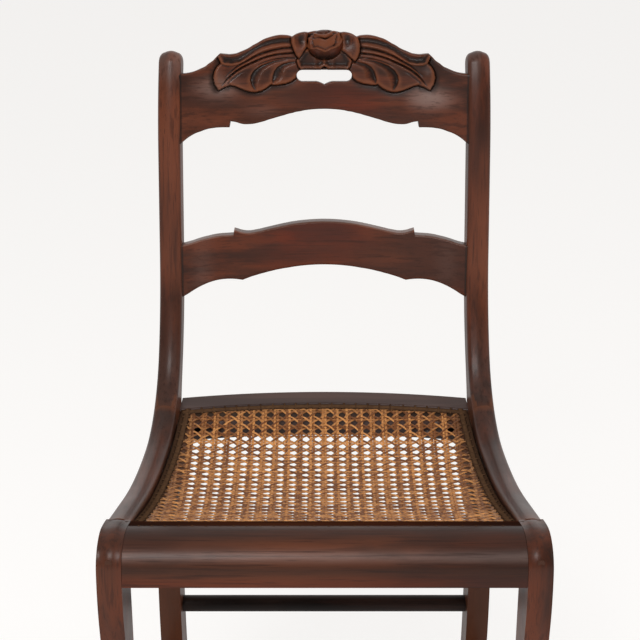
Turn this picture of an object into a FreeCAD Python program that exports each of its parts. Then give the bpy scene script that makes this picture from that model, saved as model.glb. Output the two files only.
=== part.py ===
import FreeCAD, Part
import math
import os

from FreeCAD import Vector

# A late Classical side chair: sabre legs, S shaped sides, a carved crest rail and a caned seat.
# Sizes are millimetres. X runs across the chair, Y from front to back, Z up from the floor.

# Overall sizes
front_width = 445.0            # across the outsides of the front legs
seat_height = 445.0            # floor to the top of the rolled front
toe_in_share = 0.10            # each side closes in by this share of the depth
side_thickness = 25.0          # every side member, measured across the chair
cut_over = 60.0                # how far a cut runs past what it cuts
fit = 0.15                     # clearance round tenons and dowels

# Front edge of the front leg, going down from the top of the roll
roll_radius = 34.0
leg_shoulder_radius = 252.0
leg_shoulder_angle = 15.0
leg_sweep_radius = 574.0

# Back edge of the front leg, going down from the underside of the side rail
front_leg_depth = 46.0
leg_back_shoulder_radius = 300.0
leg_back_angle = 7.5
leg_calf_radius = 1215.0
leg_ankle_radius = 530.0

# Top edge of the side, going back from the roll and up to the crown of the post
roll_back_radius = 180.0
fall_angle = 6.3
fall_length = 86.0
dip_radius = 480.0
dip_rise_angle = 10.0
knee_radius = 120.0
knee_angle = 70.0
lean_radius = 340.0
lean_angle = 88.0
upright_length = 121.5
curl_radius = 400.0
curl_angle = 14.0

# Back edge of the post, going down from the crown to the heel
stile_depth = 26.5             # front to back, above the seat
post_back_length = 26.0
post_back_radius = 230.0
rear_leg_depth = 36.0          # front to back, under the seat
rear_leg_straight_end = 300.0  # height where the rear leg starts to sweep back
rear_leg_front_radius = 700.0
rear_leg_back_radius = 735.0
edge_ease = 2.6                # easing of the long front and back edges

# Side rail and its joints
front_joint_depth = 58.0       # roll front to the joint of leg and side rail
rail_front_height = 45.0
rail_middle_height = 40.0
rail_rear_height = 50.0

# Tenons of the side rails, the front rail and the rear rail
tenon_thickness = 9.0
tenon_length = 16.0
front_tenon_length = 19.0      # far enough for the long dowel to lock it
tenon_shoulder = 8.0           # wood left above and below a tenon
rail_tenon_setback = 11.0      # front face of the front rail to its tenon

# Front seat rail
front_rail_height = 49.0
front_rail_top_depth = 40.0    # roll front to the edge of the cane ledge
front_rail_depth = 52.0        # roll front to the back of the ledge
front_rail_round = 3.0

# Line of the cane seat in side view, from the front ledge to the rear rail
cane_start_drop = 0.6          # top of the roll down to the start of the cane line
cane_fall_angle = 10.0
cane_fall_length = 62.0
cane_dip_radius = 540.0
cane_middle_radius = 600.0
cane_middle_angle = 7.0
cane_rear_radius = 280.0
cane_rear_angle = 18.0
cane_tail_length = 90.0

# Caned seat and its frame
net_thickness = 1.6
net_gap = 0.25                 # net over the ledge, and binder over the net
net_pitch = 40.2               # three rows of the real weave
net_hole = 29.0
net_inset = 7.0                # inner face of a side member to the edge of the net
net_margin = 7.0               # least web between a hole of the net and its edge
binder_width = 6.0
binder_thickness = 1.4
binder_inset = 6.0             # inner face of a side member to the binder
frame_thickness = 20.0
cane_rail_width = 30.0
cane_rail_gap = 1.2            # dark line between side member and cane rail
cane_tenon_thickness = 7.0
cane_tenon_width = 18.0
cane_tenon_length = 12.0

# Rear seat rail
rear_rail_setback = 3.0        # front of the post to the front of the rail
rear_rail_width = 41.5
rear_rail_bow = 11.5
rear_band_width = 19.0         # raised band behind the cane
rear_band_rise = 1.3           # band above the cane

# Crest rail
crest_bottom_rise = 309.0      # top of the roll to the lower corner beside the post
crest_height = 123.0           # lower corner to the top of the rose
crest_thickness = 20.0
crest_lean_angle = 8.0
crest_bow = 18.0
crest_setback = 1.0            # front of the post to the front of the rail
crest_relief = 3.6             # how far the leaves stand above the ground
crest_tenon_height = 48.0
crest_tenon_rise = 12.0

# Carving of the crest rail
rose_radius = 17.5
rose_rise = 8.5                # the bud stands so far above the leaves
petal_rise = 3.8
calyx_rise = 3.0
flute_radius = 6.5             # gouge of the wide hollows in a leaf
flute_depth = 2.6
groove_radius = 2.0            # gouge of the fine lines in a leaf
groove_depth = 1.6
slot_height = 13.5
slot_half_length = 30.5
slot_cusp_drop = 3.4
slot_cusp_half_length = 7.0

# Middle slat
slat_bottom_rise = 131.0       # top of the roll to the lower corner beside the post
slat_height = 83.6             # lower corner to the middle of the top edge
slat_thickness = 16.0
slat_bow = 18.0
slat_setback = 1.0
slat_tenon_height = 30.0
slat_tenon_rise = 12.0

# Round stretchers between the legs
stretcher_radius = 9.5
stretcher_end_radius = 6.0
stretcher_end_length = 14.0
rear_stretcher_height = 218.0
front_stretcher_height = 205.0
side_stretcher_height = 150.0

# Dowels and blocks
dowel_radius = 3.5
dowel_spacing = 16.0
dowel_top_drop = 24.0          # top of the roll down to the upper dowel
long_dowel_length = 96.0
short_dowel_start = 36.0
short_dowel_length = 44.0
block_leg = 34.0
block_height = 20.0

# Rails between the posts run past them by this share before they are cut to length
end_share = 1.06

# Outlines of the crest rail, as shares of its half length and its height
crest_side_top_shares = [
    (1.06, 0.598), (0.946, 0.604), (0.884, 0.625), (0.821, 0.665), (0.772, 0.713), (0.730, 0.766),
]
crest_leaf_top_shares = [
    (0.730, 0.766), (0.663, 0.766), (0.595, 0.782), (0.516, 0.828), (0.441, 0.884), (0.358, 0.925),
    (0.268, 0.935),
]
crest_middle_top_share = 0.945
crest_side_low_shares = [(1.06, -0.061), (0.941, 0.032), (0.861, 0.081), (0.777, 0.110), (0.660, 0.115)]
crest_step_share = (0.645, 0.170)
crest_arch_shares = [(0.645, 0.170), (0.556, 0.142), (0.500, 0.145), (0.306, 0.212), (0.146, 0.261)]
crest_middle_low_share = 0.277
leaf_low_shares = [(0.730, 0.781), (0.775, 0.665), (0.768, 0.534), (0.727, 0.438)]
leaf_lobe_shares = [
    [(0.727, 0.438), (0.657, 0.482), (0.602, 0.474)],
    [(0.602, 0.474), (0.499, 0.408), (0.417, 0.452), (0.378, 0.494)],
    [(0.378, 0.494), (0.270, 0.500), (0.208, 0.542), (0.180, 0.628)],
]
leaf_flute_shares = [
    # places along each hollow: x, z and the share of the flute's depth there
    [(0.735, 0.700, 1.0), (0.578, 0.727, 1.0), (0.454, 0.812, 1.0), (0.332, 0.872, 1.0), (0.190, 0.888, 1.0)],
    [(0.690, 0.487, 0.7), (0.486, 0.660, 0.0)],
    [(0.535, 0.438, 1.0), (0.489, 0.556, 1.0), (0.413, 0.651, 0.7), (0.298, 0.706, 0.0)],
    [(0.372, 0.463, 1.0), (0.338, 0.584, 1.0), (0.282, 0.654, 0.6), (0.220, 0.694, 0.0)],
]
leaf_groove_shares = [
    [(0.715, 0.482), (0.574, 0.597), (0.454, 0.688), (0.350, 0.730), (0.190, 0.752)],
    [(0.735, 0.674), (0.574, 0.683), (0.454, 0.751), (0.350, 0.789), (0.190, 0.810)],
]
# Petals: middle x and z, then the radius as a share of the rail's height
petal_shares = [
    (0.165, 0.858, 0.105),
    (0.150, 0.752, 0.080),
]
petal_ring_shares = [(1.0, 0.0), (0.45, 1.0)]
rose_ring_shares = [(1.0, 0.0), (0.86, 0.55), (0.5, 0.92), (0.34, 1.0)]
slot_middle_share = 0.577
calyx_shares = [(0.0, 0.790), (0.200, 0.708), (0.172, 0.622), (0.085, 0.602), (0.0, 0.632)]

# Outlines of the middle slat, as shares of its half length and its height
slat_shoulder_shares = [
    (1.06, 0.670), (0.955, 0.732), (0.890, 0.766), (0.820, 0.800), (0.755, 0.824), (0.667, 0.829),
]
slat_tip_share = (0.632, 0.901)
slat_arch_shares = [
    (0.632, 0.901), (0.590, 0.872), (0.534, 0.853), (0.463, 0.872), (0.362, 0.914), (0.196, 0.975),
]
slat_side_low_shares = [
    (1.06, -0.045), (0.958, 0.039), (0.890, 0.120), (0.805, 0.189), (0.730, 0.218), (0.650, 0.222),
    (0.585, 0.207),
]
slat_step_share = (0.575, 0.220)
slat_low_arch_shares = [(0.575, 0.220), (0.483, 0.262), (0.305, 0.345), (0.157, 0.385)]
slat_middle_low_share = 0.401


# Lines in the side view

class SideLine:
    """A run of tangent lines and arcs in the plane of Y and Z."""

    def __init__(self, y, z, heading):
        self.y, self.z, self.heading = y, z, heading
        self.edges = []

    def straight(self, length):
        start = Vector(0, self.y, self.z)
        self.y += length * math.cos(math.radians(self.heading))
        self.z += length * math.sin(math.radians(self.heading))
        self.edges.append(Part.makeLine(start, Vector(0, self.y, self.z)))

    def arc(self, radius, turn):
        """An arc that turns by so many degrees, to the left where turn is positive."""
        hand = math.copysign(1, turn)
        first = math.radians(self.heading)
        last = math.radians(self.heading + turn)
        middle_y = self.y - hand * radius * math.sin(first)
        middle_z = self.z + hand * radius * math.cos(first)
        points = []
        for angle in (first, (first + last) / 2, last):
            y = middle_y + hand * radius * math.sin(angle)
            z = middle_z - hand * radius * math.cos(angle)
            points.append(Vector(0, y, z))
        self.edges.append(Part.Arc(*points).toShape())
        self.y, self.z = points[-1].y, points[-1].z
        self.heading += turn

    def arc_to_floor(self, radius, hand):
        """A falling arc that ends where it meets the floor."""
        first = math.radians(self.heading)
        middle_z = self.z + hand * radius * math.cos(first)
        last = -math.degrees(math.acos(middle_z / (hand * radius)))
        turn = (last - self.heading + 180) % 360 - 180
        self.arc(radius, turn)

    def wire(self):
        return Part.Wire(self.edges)


def point_at(wire, height=None, depth=None):
    """The point of a side view wire at a height or at a depth."""
    if height is None:
        probe = Part.makeLine(Vector(0, depth, -seat_height), Vector(0, depth, 4 * seat_height))
    else:
        probe = Part.makeLine(Vector(0, -seat_height, height), Vector(0, 4 * seat_height, height))
    return wire.distToShape(probe)[1][0][0]


def spline(points):
    """One smooth edge through points."""
    curve = Part.BSplineCurve()
    curve.interpolate(points)
    return curve.toShape()


def box(x0, x1, y0, y1, z0, z1):
    return Part.makeBox(x1 - x0, y1 - y0, z1 - z0, Vector(x0, y0, z0))


def round_bar(start, end, radius):
    """A cylinder from one point to another."""
    return Part.makeCylinder(radius, (end - start).Length, start, end - start)


def across(face, width):
    """A side view face, made solid across the middle of the chair."""
    face.translate(Vector(-width / 2, 0, 0))
    return face.extrude(Vector(width, 0, 0))


def largest(shape):
    return max(shape.Solids, key=lambda solid: solid.Volume)


def mirrored(shape):
    """The same piece on the other side of the chair."""
    return shape.mirror(Vector(0, 0, 0), Vector(1, 0, 0))


# The line of the front leg, from the top of the roll to the floor
leg_line = SideLine(roll_radius, seat_height, 180)
leg_line.arc(roll_radius, 90)
leg_line.arc(leg_shoulder_radius, leg_shoulder_angle)
leg_line.arc_to_floor(leg_sweep_radius, -1)

# The line of the side rail and the post, from the top of the roll to the crown
rail_line = SideLine(roll_radius, seat_height, 0)
rail_line.arc(roll_back_radius, -fall_angle)
rail_line.straight(fall_length)
rail_line.arc(dip_radius, fall_angle + dip_rise_angle)
rail_line.arc(knee_radius, knee_angle - dip_rise_angle)
rail_line.arc(lean_radius, lean_angle - knee_angle)
rail_line.straight(upright_length)
rail_line.arc(curl_radius, -curl_angle)
post_front = Part.Wire(list(rail_line.edges[3:]))
rail_line.arc(stile_depth / 2, -180)

# The back line of the post, from the crown down to the heel
back_line = SideLine(rail_line.y, rail_line.z, rail_line.heading)
back_line.arc(curl_radius - stile_depth, curl_angle)
back_line.straight(upright_length)
back_line.arc(lean_radius + stile_depth, knee_angle - lean_angle)
back_line.straight(post_back_length)
back_line.arc(post_back_radius, 90 - knee_angle)
rear_joint_depth = back_line.y - rear_leg_depth
back_line.straight(back_line.z - rear_leg_straight_end)
back_line.arc_to_floor(rear_leg_back_radius, 1)

# The front line of the rear leg, going down from under the side rail
rear_joint_top = point_at(rail_line.wire(), depth=rear_joint_depth).z
rear_joint_low = rear_joint_top - rail_rear_height
rear_line = SideLine(rear_joint_depth, rear_joint_low, 270)
rear_line.straight(rear_joint_low - rear_leg_straight_end)
rear_line.arc_to_floor(rear_leg_front_radius, 1)

# The back line of the front leg, going down from under the side rail
front_joint_low = point_at(rail_line.wire(), depth=front_joint_depth).z - rail_front_height
calf_line = SideLine(front_leg_depth, front_joint_low, 270)
calf_line.arc(leg_back_shoulder_radius, leg_back_angle)
rail_box_low = calf_line.z
calf_line.arc(leg_calf_radius, -leg_back_angle)
calf_line.arc_to_floor(leg_ankle_radius, -1)

# The side members stand in upright planes that close in towards the back
toe_in = math.degrees(math.atan(toe_in_share))
inner_front_half = front_width / 2 - side_thickness * math.cos(math.radians(toe_in))


def side_place(shape):
    """Turn a shape from the left side's own plane, inner face at X zero, to its place."""
    placed = shape.copy()
    placed.rotate(Vector(0, 0, 0), Vector(0, 0, 1), -toe_in)
    placed.translate(Vector(-inner_front_half, 0, 0))
    return placed


def inner_half(depth):
    """Half the width between the side members at a depth from the roll's front."""
    return inner_front_half - toe_in_share * depth


def side_depth(length):
    """The depth from the roll's front at a length along a side member's inner face."""
    return length * math.cos(math.radians(toe_in))


def side_centre(length, height):
    """A point in the middle of the left side member's thickness."""
    point = Part.Vertex(-side_thickness / 2, length, height)
    return side_place(point).Point


def between_sides(gap):
    """Everything between the inner faces of the two side members."""
    points = []
    for depth, hand in ((-seat_height, -1), (2 * seat_height, -1), (2 * seat_height, 1), (-seat_height, 1)):
        points.append(Vector(hand * (inner_half(depth) - gap), depth, -cut_over))
    points.append(points[0])
    return Part.Face(Part.makePolygon(points)).extrude(Vector(0, 0, 4 * seat_height))


# Side members: front leg, side rail and back post

def side_blank():
    """Leg, rail and post as one solid in the side's own plane, before they are parted."""
    low_points = [Vector(0, front_joint_depth, front_joint_low)]
    middle_depth = (front_joint_depth + rear_joint_depth) / 2
    low_points.append(point_at(rail_line.wire(), depth=middle_depth) - Vector(0, 0, rail_middle_height))
    low_points.append(Vector(0, rear_joint_depth, rear_joint_low))
    edges = leg_line.edges + rail_line.edges + back_line.edges + rear_line.edges + calf_line.edges
    edges.append(Part.makeLine(Vector(0, back_line.y, 0), Vector(0, rear_line.y, 0)))
    edges.append(Part.Arc(*low_points).toShape())
    edges.append(Part.makeLine(low_points[0], Vector(0, front_leg_depth, front_joint_low)))
    edges.append(Part.makeLine(Vector(0, calf_line.y, 0), Vector(0, leg_line.y, 0)))
    face = Part.Face(Part.Wire(Part.__sortEdges__(edges)))
    blank = face.extrude(Vector(-side_thickness, 0, 0))
    guides = leg_line.edges + rail_line.edges + back_line.edges
    return eased_blank(blank, guides)


def eased_blank(blank, guides):
    """The blank with its long front, top and back edges eased."""
    picked = []
    for edge in blank.Edges:
        middle = edge.valueAt((edge.FirstParameter + edge.LastParameter) / 2)
        seen = Part.Vertex(0, middle.y, middle.z)
        crosses = edge.BoundBox.XLength > side_thickness / 2
        if not crosses and min(guide.distToShape(seen)[0] for guide in guides) < fit / 10:
            picked.append(edge)
    return blank.makeChamfer(edge_ease, picked)


def parted_sides(blank):
    """Front leg, side rail and back post, before their joints are cut."""
    rail_box = box(-front_width, front_width, front_joint_depth, rear_joint_depth,
                   rail_box_low, 4 * seat_height)
    rail = largest(blank.common(rail_box))
    rest = blank.cut(rail_box)
    middle = (front_joint_depth + rear_joint_depth) / 2
    leg = largest(Part.Compound([s for s in rest.Solids if s.CenterOfMass.y < middle]))
    post = largest(Part.Compound([s for s in rest.Solids if s.CenterOfMass.y > middle]))
    return side_place(leg), side_place(rail), side_place(post)


def rail_tenon(clearance):
    """Tenon of the side rail in the back post."""
    low = rear_joint_low + tenon_shoulder - clearance
    high = rear_joint_top - 2 * tenon_shoulder + clearance
    inner = -(side_thickness - tenon_thickness) / 2 + clearance
    return side_place(box(inner - tenon_thickness - 2 * clearance, inner, rear_joint_depth - clearance,
                          rear_joint_depth + tenon_length + clearance, low, high))


# Dowels between front leg and side rail

def leg_dowels(extra):
    """The long dowel that shows on the leg's front and locks the front rail, and a hidden one."""
    height = seat_height - dowel_top_drop
    long_one = round_bar(side_centre(-extra, height), side_centre(long_dowel_length + extra, height),
                         dowel_radius + extra)
    lower = height - dowel_spacing
    short_one = round_bar(side_centre(short_dowel_start - extra, lower),
                          side_centre(short_dowel_start + short_dowel_length + extra, lower),
                          dowel_radius + extra)
    return long_one, short_one


# Seat frame

def cane_line():
    """The top of the cane in side view, from the ledge to behind the rear rail."""
    line = SideLine(front_rail_top_depth, seat_height - cane_start_drop, -cane_fall_angle)
    line.straight(cane_fall_length)
    line.arc(cane_dip_radius, cane_fall_angle)
    line.arc(cane_middle_radius, cane_middle_angle)
    line.arc(cane_rear_radius, cane_rear_angle - cane_middle_angle)
    line.straight(cane_tail_length)
    return line


seat_line = cane_line()


def seat_layer(top_drop, thickness):
    """A layer right across the chair that follows the cane line, its top so far below it."""
    upper = seat_line.wire()
    upper.translate(Vector(0, 0, -top_drop))
    lower = seat_line.wire()
    lower.translate(Vector(0, 0, -top_drop - thickness))
    starts = (upper.Vertexes[0].Point, lower.Vertexes[0].Point)
    ends = (upper.Vertexes[-1].Point, lower.Vertexes[-1].Point)
    edges = upper.Edges + lower.Edges + [Part.makeLine(*starts), Part.makeLine(*ends)]
    return across(Part.Face(Part.Wire(Part.__sortEdges__(edges))), 2 * front_width)


ledge_drop = net_thickness + net_gap


def bowed_edge(depth, bow, half_length, height):
    """An arc across the chair that bows back in the middle."""
    return Part.Arc(Vector(-half_length, depth, height), Vector(0, depth + bow, height),
                    Vector(half_length, depth, height)).toShape()


def bowed_strip(front, back, bow, half_length):
    """A tall solid between two bowed lines, which shapes what it is common with."""
    first = bowed_edge(front, bow, half_length, 0)
    second = bowed_edge(back, bow, half_length, 0)
    sides = [Part.makeLine(first.Vertexes[i].Point, second.Vertexes[i].Point) for i in (0, 1)]
    face = Part.Face(Part.Wire(Part.__sortEdges__([first, second] + sides)))
    return face.extrude(Vector(0, 0, 4 * seat_height))


rear_rail_front = side_depth(rear_joint_depth) + rear_rail_setback
rear_half = inner_half(rear_rail_front)
band_front = rear_rail_front + rear_rail_width - rear_band_width


def front_rail_blank():
    """The rolled front rail between the legs, with a ledge for the cane."""
    outline = SideLine(roll_radius, seat_height, 180)
    outline.arc(roll_radius, 90)
    outline.straight(front_rail_height - roll_radius)
    low = seat_height - front_rail_height
    back = point_at(rail_line.wire(), depth=front_rail_top_depth)
    corners = [Vector(0, 0, low), Vector(0, front_rail_top_depth, low), back,
               Vector(0, roll_radius, seat_height)]
    edges = outline.edges + [Part.makeLine(a, b) for a, b in zip(corners, corners[1:])]
    body = across(Part.Face(Part.Wire(Part.__sortEdges__(edges))), 2 * front_width)
    low_edges = [e for e in body.Edges if e.BoundBox.ZMax < low + fit and e.BoundBox.XLength > front_width]
    body = body.makeFillet(front_rail_round, low_edges)
    ledge_box = box(-front_width, front_width, front_rail_top_depth, front_rail_depth, 0, 2 * seat_height)
    ledge = seat_layer(ledge_drop, frame_thickness).common(ledge_box)
    return largest(body.fuse(ledge).removeSplitter().common(between_sides(0)))


def front_rail_tenons(clearance):
    """Tenons of the front rail in the two front legs."""
    low = seat_height - front_rail_height + tenon_shoulder - clearance
    high = seat_height - 2 * tenon_shoulder + clearance
    reach = inner_half(rail_tenon_setback) + front_tenon_length + clearance
    front = rail_tenon_setback - clearance
    return box(-reach, reach, front, front + tenon_thickness + 2 * clearance, low, high)


def rear_rail_tenons(clearance):
    """Tenons of the rear seat rail in the two posts."""
    layer = seat_layer(ledge_drop + (frame_thickness - tenon_thickness) / 2 - clearance,
                       tenon_thickness + 2 * clearance)
    front = rear_rail_front + 2 * tenon_shoulder - clearance
    back = rear_rail_front + rear_rail_width - 2 * tenon_shoulder + clearance
    reach = rear_half + tenon_length + clearance
    return layer.common(box(-reach, reach, front, back, 0, 2 * seat_height))


def rear_rail_blank():
    """The bowed rear rail, with a raised band behind the cane."""
    strip = bowed_strip(rear_rail_front, rear_rail_front + rear_rail_width, rear_rail_bow, rear_half)
    ledge = seat_layer(ledge_drop, frame_thickness).common(strip)
    band_strip = bowed_strip(band_front, rear_rail_front + rear_rail_width, rear_rail_bow, rear_half)
    band = seat_layer(-rear_band_rise, ledge_drop + rear_band_rise + frame_thickness / 2).common(band_strip)
    return largest(ledge.fuse(band).removeSplitter().common(between_sides(0)))


def cane_rail_plan(outer, inner, front, back):
    """A tall solid over a strip that runs along the left side member."""
    corners = []
    for depth, inset in ((front, outer), (back, outer), (back, inner), (front, inner)):
        corners.append(Vector(-inner_half(depth) + inset, depth, 0))
    corners.append(corners[0])
    return Part.Face(Part.makePolygon(corners)).extrude(Vector(0, 0, 2 * seat_height))


def cane_rail_blank():
    """The left inner rail that carries the cane, cut to meet the front and rear rails."""
    plan = cane_rail_plan(cane_rail_gap, cane_rail_gap + cane_rail_width, front_rail_depth,
                          rear_rail_front + rear_rail_bow)
    rail = seat_layer(ledge_drop, frame_thickness).common(plan)
    behind = bowed_strip(rear_rail_front, rear_rail_front + cut_over, rear_rail_bow, rear_half)
    return largest(rail.cut(behind))


def cane_rail_tenons(clearance):
    """Tenons at both ends of the left cane rail."""
    layer = seat_layer(ledge_drop + (frame_thickness - cane_tenon_thickness) / 2 - clearance,
                       cane_tenon_thickness + 2 * clearance)
    inset = cane_rail_gap + (cane_rail_width - cane_tenon_width) / 2
    outer = inset - clearance
    inner = inset + cane_tenon_width + clearance
    front = cane_rail_plan(outer, inner, front_rail_depth - cane_tenon_length - clearance,
                           front_rail_depth + cane_tenon_length)
    rear = cane_rail_plan(outer, inner, rear_rail_front - cane_tenon_length,
                          rear_rail_front + cane_tenon_length + clearance)
    return layer.common(front), layer.common(rear)


# Caned seat

def net_plan():
    """The plan of the net: straight front and sides, a bowed back."""
    back_depth = band_front - net_margin / 2
    front_depth = front_rail_top_depth + net_gap
    front_half = inner_half(front_depth) - net_inset
    back_half = inner_half(back_depth) - net_inset
    back = bowed_edge(back_depth, rear_rail_bow, back_half, 0)
    corners = [Vector(-back_half, back_depth, 0), Vector(-front_half, front_depth, 0),
               Vector(front_half, front_depth, 0), Vector(back_half, back_depth, 0)]
    edges = [back] + [Part.makeLine(a, b) for a, b in zip(corners, corners[1:])]
    return Part.Face(Part.Wire(Part.__sortEdges__(edges)))


def net_holes(plan):
    """The square openings that keep their margin from the edge of the net."""
    holes = []
    rows = int(2 * seat_height / net_pitch)
    reach = net_hole / 2
    square = ((-1, -1), (1, -1), (1, 1), (-1, 1))
    edge = plan.OuterWire
    for row in range(rows):
        depth = front_rail_depth + net_margin + (row + 0.5) * net_pitch
        for column in range(-rows, rows + 1):
            middle = Vector(column * net_pitch, depth, 0)
            corners = [middle + Vector(i * reach, j * reach, 0) for i, j in square]
            inside = all(plan.isInside(corner, fit, True) for corner in corners)
            if inside and min(edge.distToShape(Part.Vertex(c))[0] for c in corners) > net_margin:
                holes.append(Part.makePolygon(corners + [corners[0]]))
    return holes


def cane_net():
    """The seat as one holed face, scooped along the cane line."""
    plan = net_plan()
    holes = net_holes(plan)
    print("openings in the cane:", len(holes))
    face = Part.Face([plan.OuterWire] + holes)
    face.translate(Vector(0, 0, seat_height / 2))
    return largest(face.extrude(Vector(0, 0, seat_height)).common(seat_layer(0, net_thickness)))


def binders():
    """Four flat strips of cane that cover the ends of the weave."""
    layer = seat_layer(-net_gap - binder_thickness, binder_thickness)
    front_depth = front_rail_top_depth + net_gap
    half = inner_half(front_depth) - binder_inset
    front = layer.common(box(-half, half, front_depth, front_depth + binder_width, 0, 2 * seat_height))
    back_depth = band_front - net_gap
    back_strip = bowed_strip(back_depth - binder_width, back_depth, rear_rail_bow, rear_half)
    back = layer.common(back_strip).common(between_sides(binder_inset))
    side_front = front_depth + binder_width + net_gap
    side_plan = cane_rail_plan(binder_inset, binder_inset + binder_width, side_front,
                               band_front + rear_rail_bow)
    cutter = bowed_strip(back_depth - binder_width - net_gap, back_depth + cut_over,
                         rear_rail_bow, rear_half)
    side = largest(layer.common(side_plan).cut(cutter))
    return largest(front), largest(back), side


# Curved rails between the posts

def outline_points(shares, half_length, height):
    """Points of an outline in the front view, on the left side."""
    return [Vector(-x * half_length, 0, z * height) for x, z in shares]


def both_sides(edges):
    """Edges of the left half and their mirror images."""
    return edges + [mirrored(edge) for edge in edges]


def front_view_solid(edges, depth_from, depth_to):
    """A closed outline in the front view, made solid from one depth to another."""
    face = Part.Face(Part.Wire(Part.__sortEdges__(edges)))
    face.translate(Vector(0, depth_from, 0))
    return face.extrude(Vector(0, depth_to - depth_from, 0))


def bowed_board(front, thickness, bow, half_length, low, high):
    """A board that bows back in the middle, as tall as asked."""
    first = bowed_edge(front, bow, half_length, low)
    second = bowed_edge(front + thickness, bow, half_length, low)
    sides = [Part.makeLine(first.Vertexes[i].Point, second.Vertexes[i].Point) for i in (0, 1)]
    face = Part.Face(Part.Wire(Part.__sortEdges__([first, second] + sides)))
    return face.extrude(Vector(0, 0, high - low))


def level_middle(shares, middle_height, half_length, height):
    """A smooth edge over the middle, from the last left point to its mirror image."""
    left = outline_points(shares, half_length, height)
    right = [Vector(-p.x, p.y, p.z) for p in reversed(left)]
    return spline(left + [Vector(0, 0, middle_height * height)] + right)


def rail_outline(half_length, height, side_top, top_join, top_middle, side_low, low_join, low_middle):
    """The closed outline of the crest rail or the slat."""
    edges = []
    for shares, join in ((side_top, top_join), (side_low, low_join)):
        points = outline_points(shares, half_length, height)
        edges.append(spline(points))
        target = outline_points([join], half_length, height)[0]
        if (target - points[-1]).Length > fit:
            edges.append(Part.makeLine(points[-1], target))
    edges = both_sides(edges)
    edges.append(level_middle(*top_middle, half_length, height))
    edges.append(level_middle(*low_middle, half_length, height))
    for hand in (-1, 1):
        ends = [Vector(hand * shares[0][0] * half_length, 0, shares[0][1] * height)
                for shares in (side_top, side_low)]
        edges.append(Part.makeLine(*ends))
    return edges


slat_bottom_height = seat_height + slat_bottom_rise
slat_depth = side_depth(point_at(post_front, height=slat_bottom_height + slat_height / 2).y) + slat_setback
slat_half = inner_half(slat_depth)


def middle_slat():
    """The scalloped slat, with a tenon at each end."""
    edges = rail_outline(slat_half, slat_height, slat_shoulder_shares, slat_tip_share,
                         (slat_arch_shares, 1.0), slat_side_low_shares, slat_step_share,
                         (slat_low_arch_shares, slat_middle_low_share))
    prism = front_view_solid(edges, -cut_over, cut_over + slat_bow)
    board = bowed_board(0, slat_thickness, slat_bow, slat_half * end_share, -slat_height, 2 * slat_height)
    slat = largest(prism.common(board))
    slat.translate(Vector(0, slat_depth, slat_bottom_height))
    return largest(slat.common(between_sides(0)))


def slat_tenons(clearance):
    """Tenons of the slat, right across the chair until the posts part them."""
    reach = slat_half + stretcher_end_length + clearance
    front = slat_depth + (slat_thickness - tenon_thickness) / 2 - clearance
    low = slat_bottom_height + slat_tenon_rise - clearance
    return box(-reach, reach, front, front + tenon_thickness + 2 * clearance, low,
               low + slat_tenon_height + 2 * clearance)


crest_bottom_height = seat_height + crest_bottom_rise
crest_depth = side_depth(point_at(post_front, height=crest_bottom_height).y) + crest_setback
crest_half = inner_half(crest_depth)


def crest_place(shape):
    """Move a shape from the crest rail's own frame to its leaning place between the posts."""
    placed = shape.copy()
    placed.rotate(Vector(0, 0, 0), Vector(1, 0, 0), -crest_lean_angle)
    placed.translate(Vector(0, crest_depth, crest_bottom_height))
    return placed


def bow_at(x):
    """How far the crest rail's front lies back at a place along its length."""
    reach = crest_half * end_share
    radius = (reach ** 2 + crest_bow ** 2) / (2 * crest_bow)
    return crest_bow - radius + math.sqrt(radius ** 2 - x ** 2)


def on_leaf(share, rise):
    """A point in front of the crest rail's left half, so far above the leaves."""
    x = -share[0] * crest_half
    return Vector(x, bow_at(x) - crest_relief - rise, share[1] * crest_height)


def gouge(places):
    """A wide hollow that runs out at the leaf's edge and keeps its depth or fades."""
    points = [on_leaf((x, z), flute_radius - flute_depth * share) for x, z, share in places]
    return [round_bar(a, b, flute_radius) for a, b in zip(points, points[1:])]


def groove(places):
    """A fine line from place to place, at one depth."""
    points = [on_leaf(share, groove_radius - groove_depth) for share in places]
    return [round_bar(a, b, groove_radius) for a, b in zip(points, points[1:])]


def bud(share, radius, rise, rings):
    """The rose or a petal: a round plug whose front steps in from ring to ring, by shares."""
    plug = round_bar(on_leaf(share, 0), on_leaf(share, -crest_thickness / 2), radius)
    steps = []
    for (wide, low), (narrow, high) in zip(rings, rings[1:]):
        foot = on_leaf(share, rise * low)
        height = rise * (high - low)
        steps.append(Part.makeCone(radius * wide, radius * narrow, height, foot, Vector(0, -1, 0)))
    return plug.fuse(steps)


def leaf_prism():
    """The outline of the left leaf, as a tall solid through the crest rail."""
    edges = [spline(outline_points(leaf_low_shares, crest_half, crest_height))]
    for lobe in leaf_lobe_shares:
        edges.append(spline(outline_points(lobe, crest_half, crest_height)))
    first = outline_points(leaf_low_shares[:1], crest_half, crest_height)[0]
    last = outline_points(leaf_lobe_shares[-1][-1:], crest_half, crest_height)[0]
    high = 2 * crest_height
    corners = [last, Vector(0, 0, last.z), Vector(0, 0, high), Vector(first.x, 0, high), first]
    edges += [Part.makeLine(a, b) for a, b in zip(corners, corners[1:])]
    return front_view_solid(edges, -cut_over, cut_over)


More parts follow.
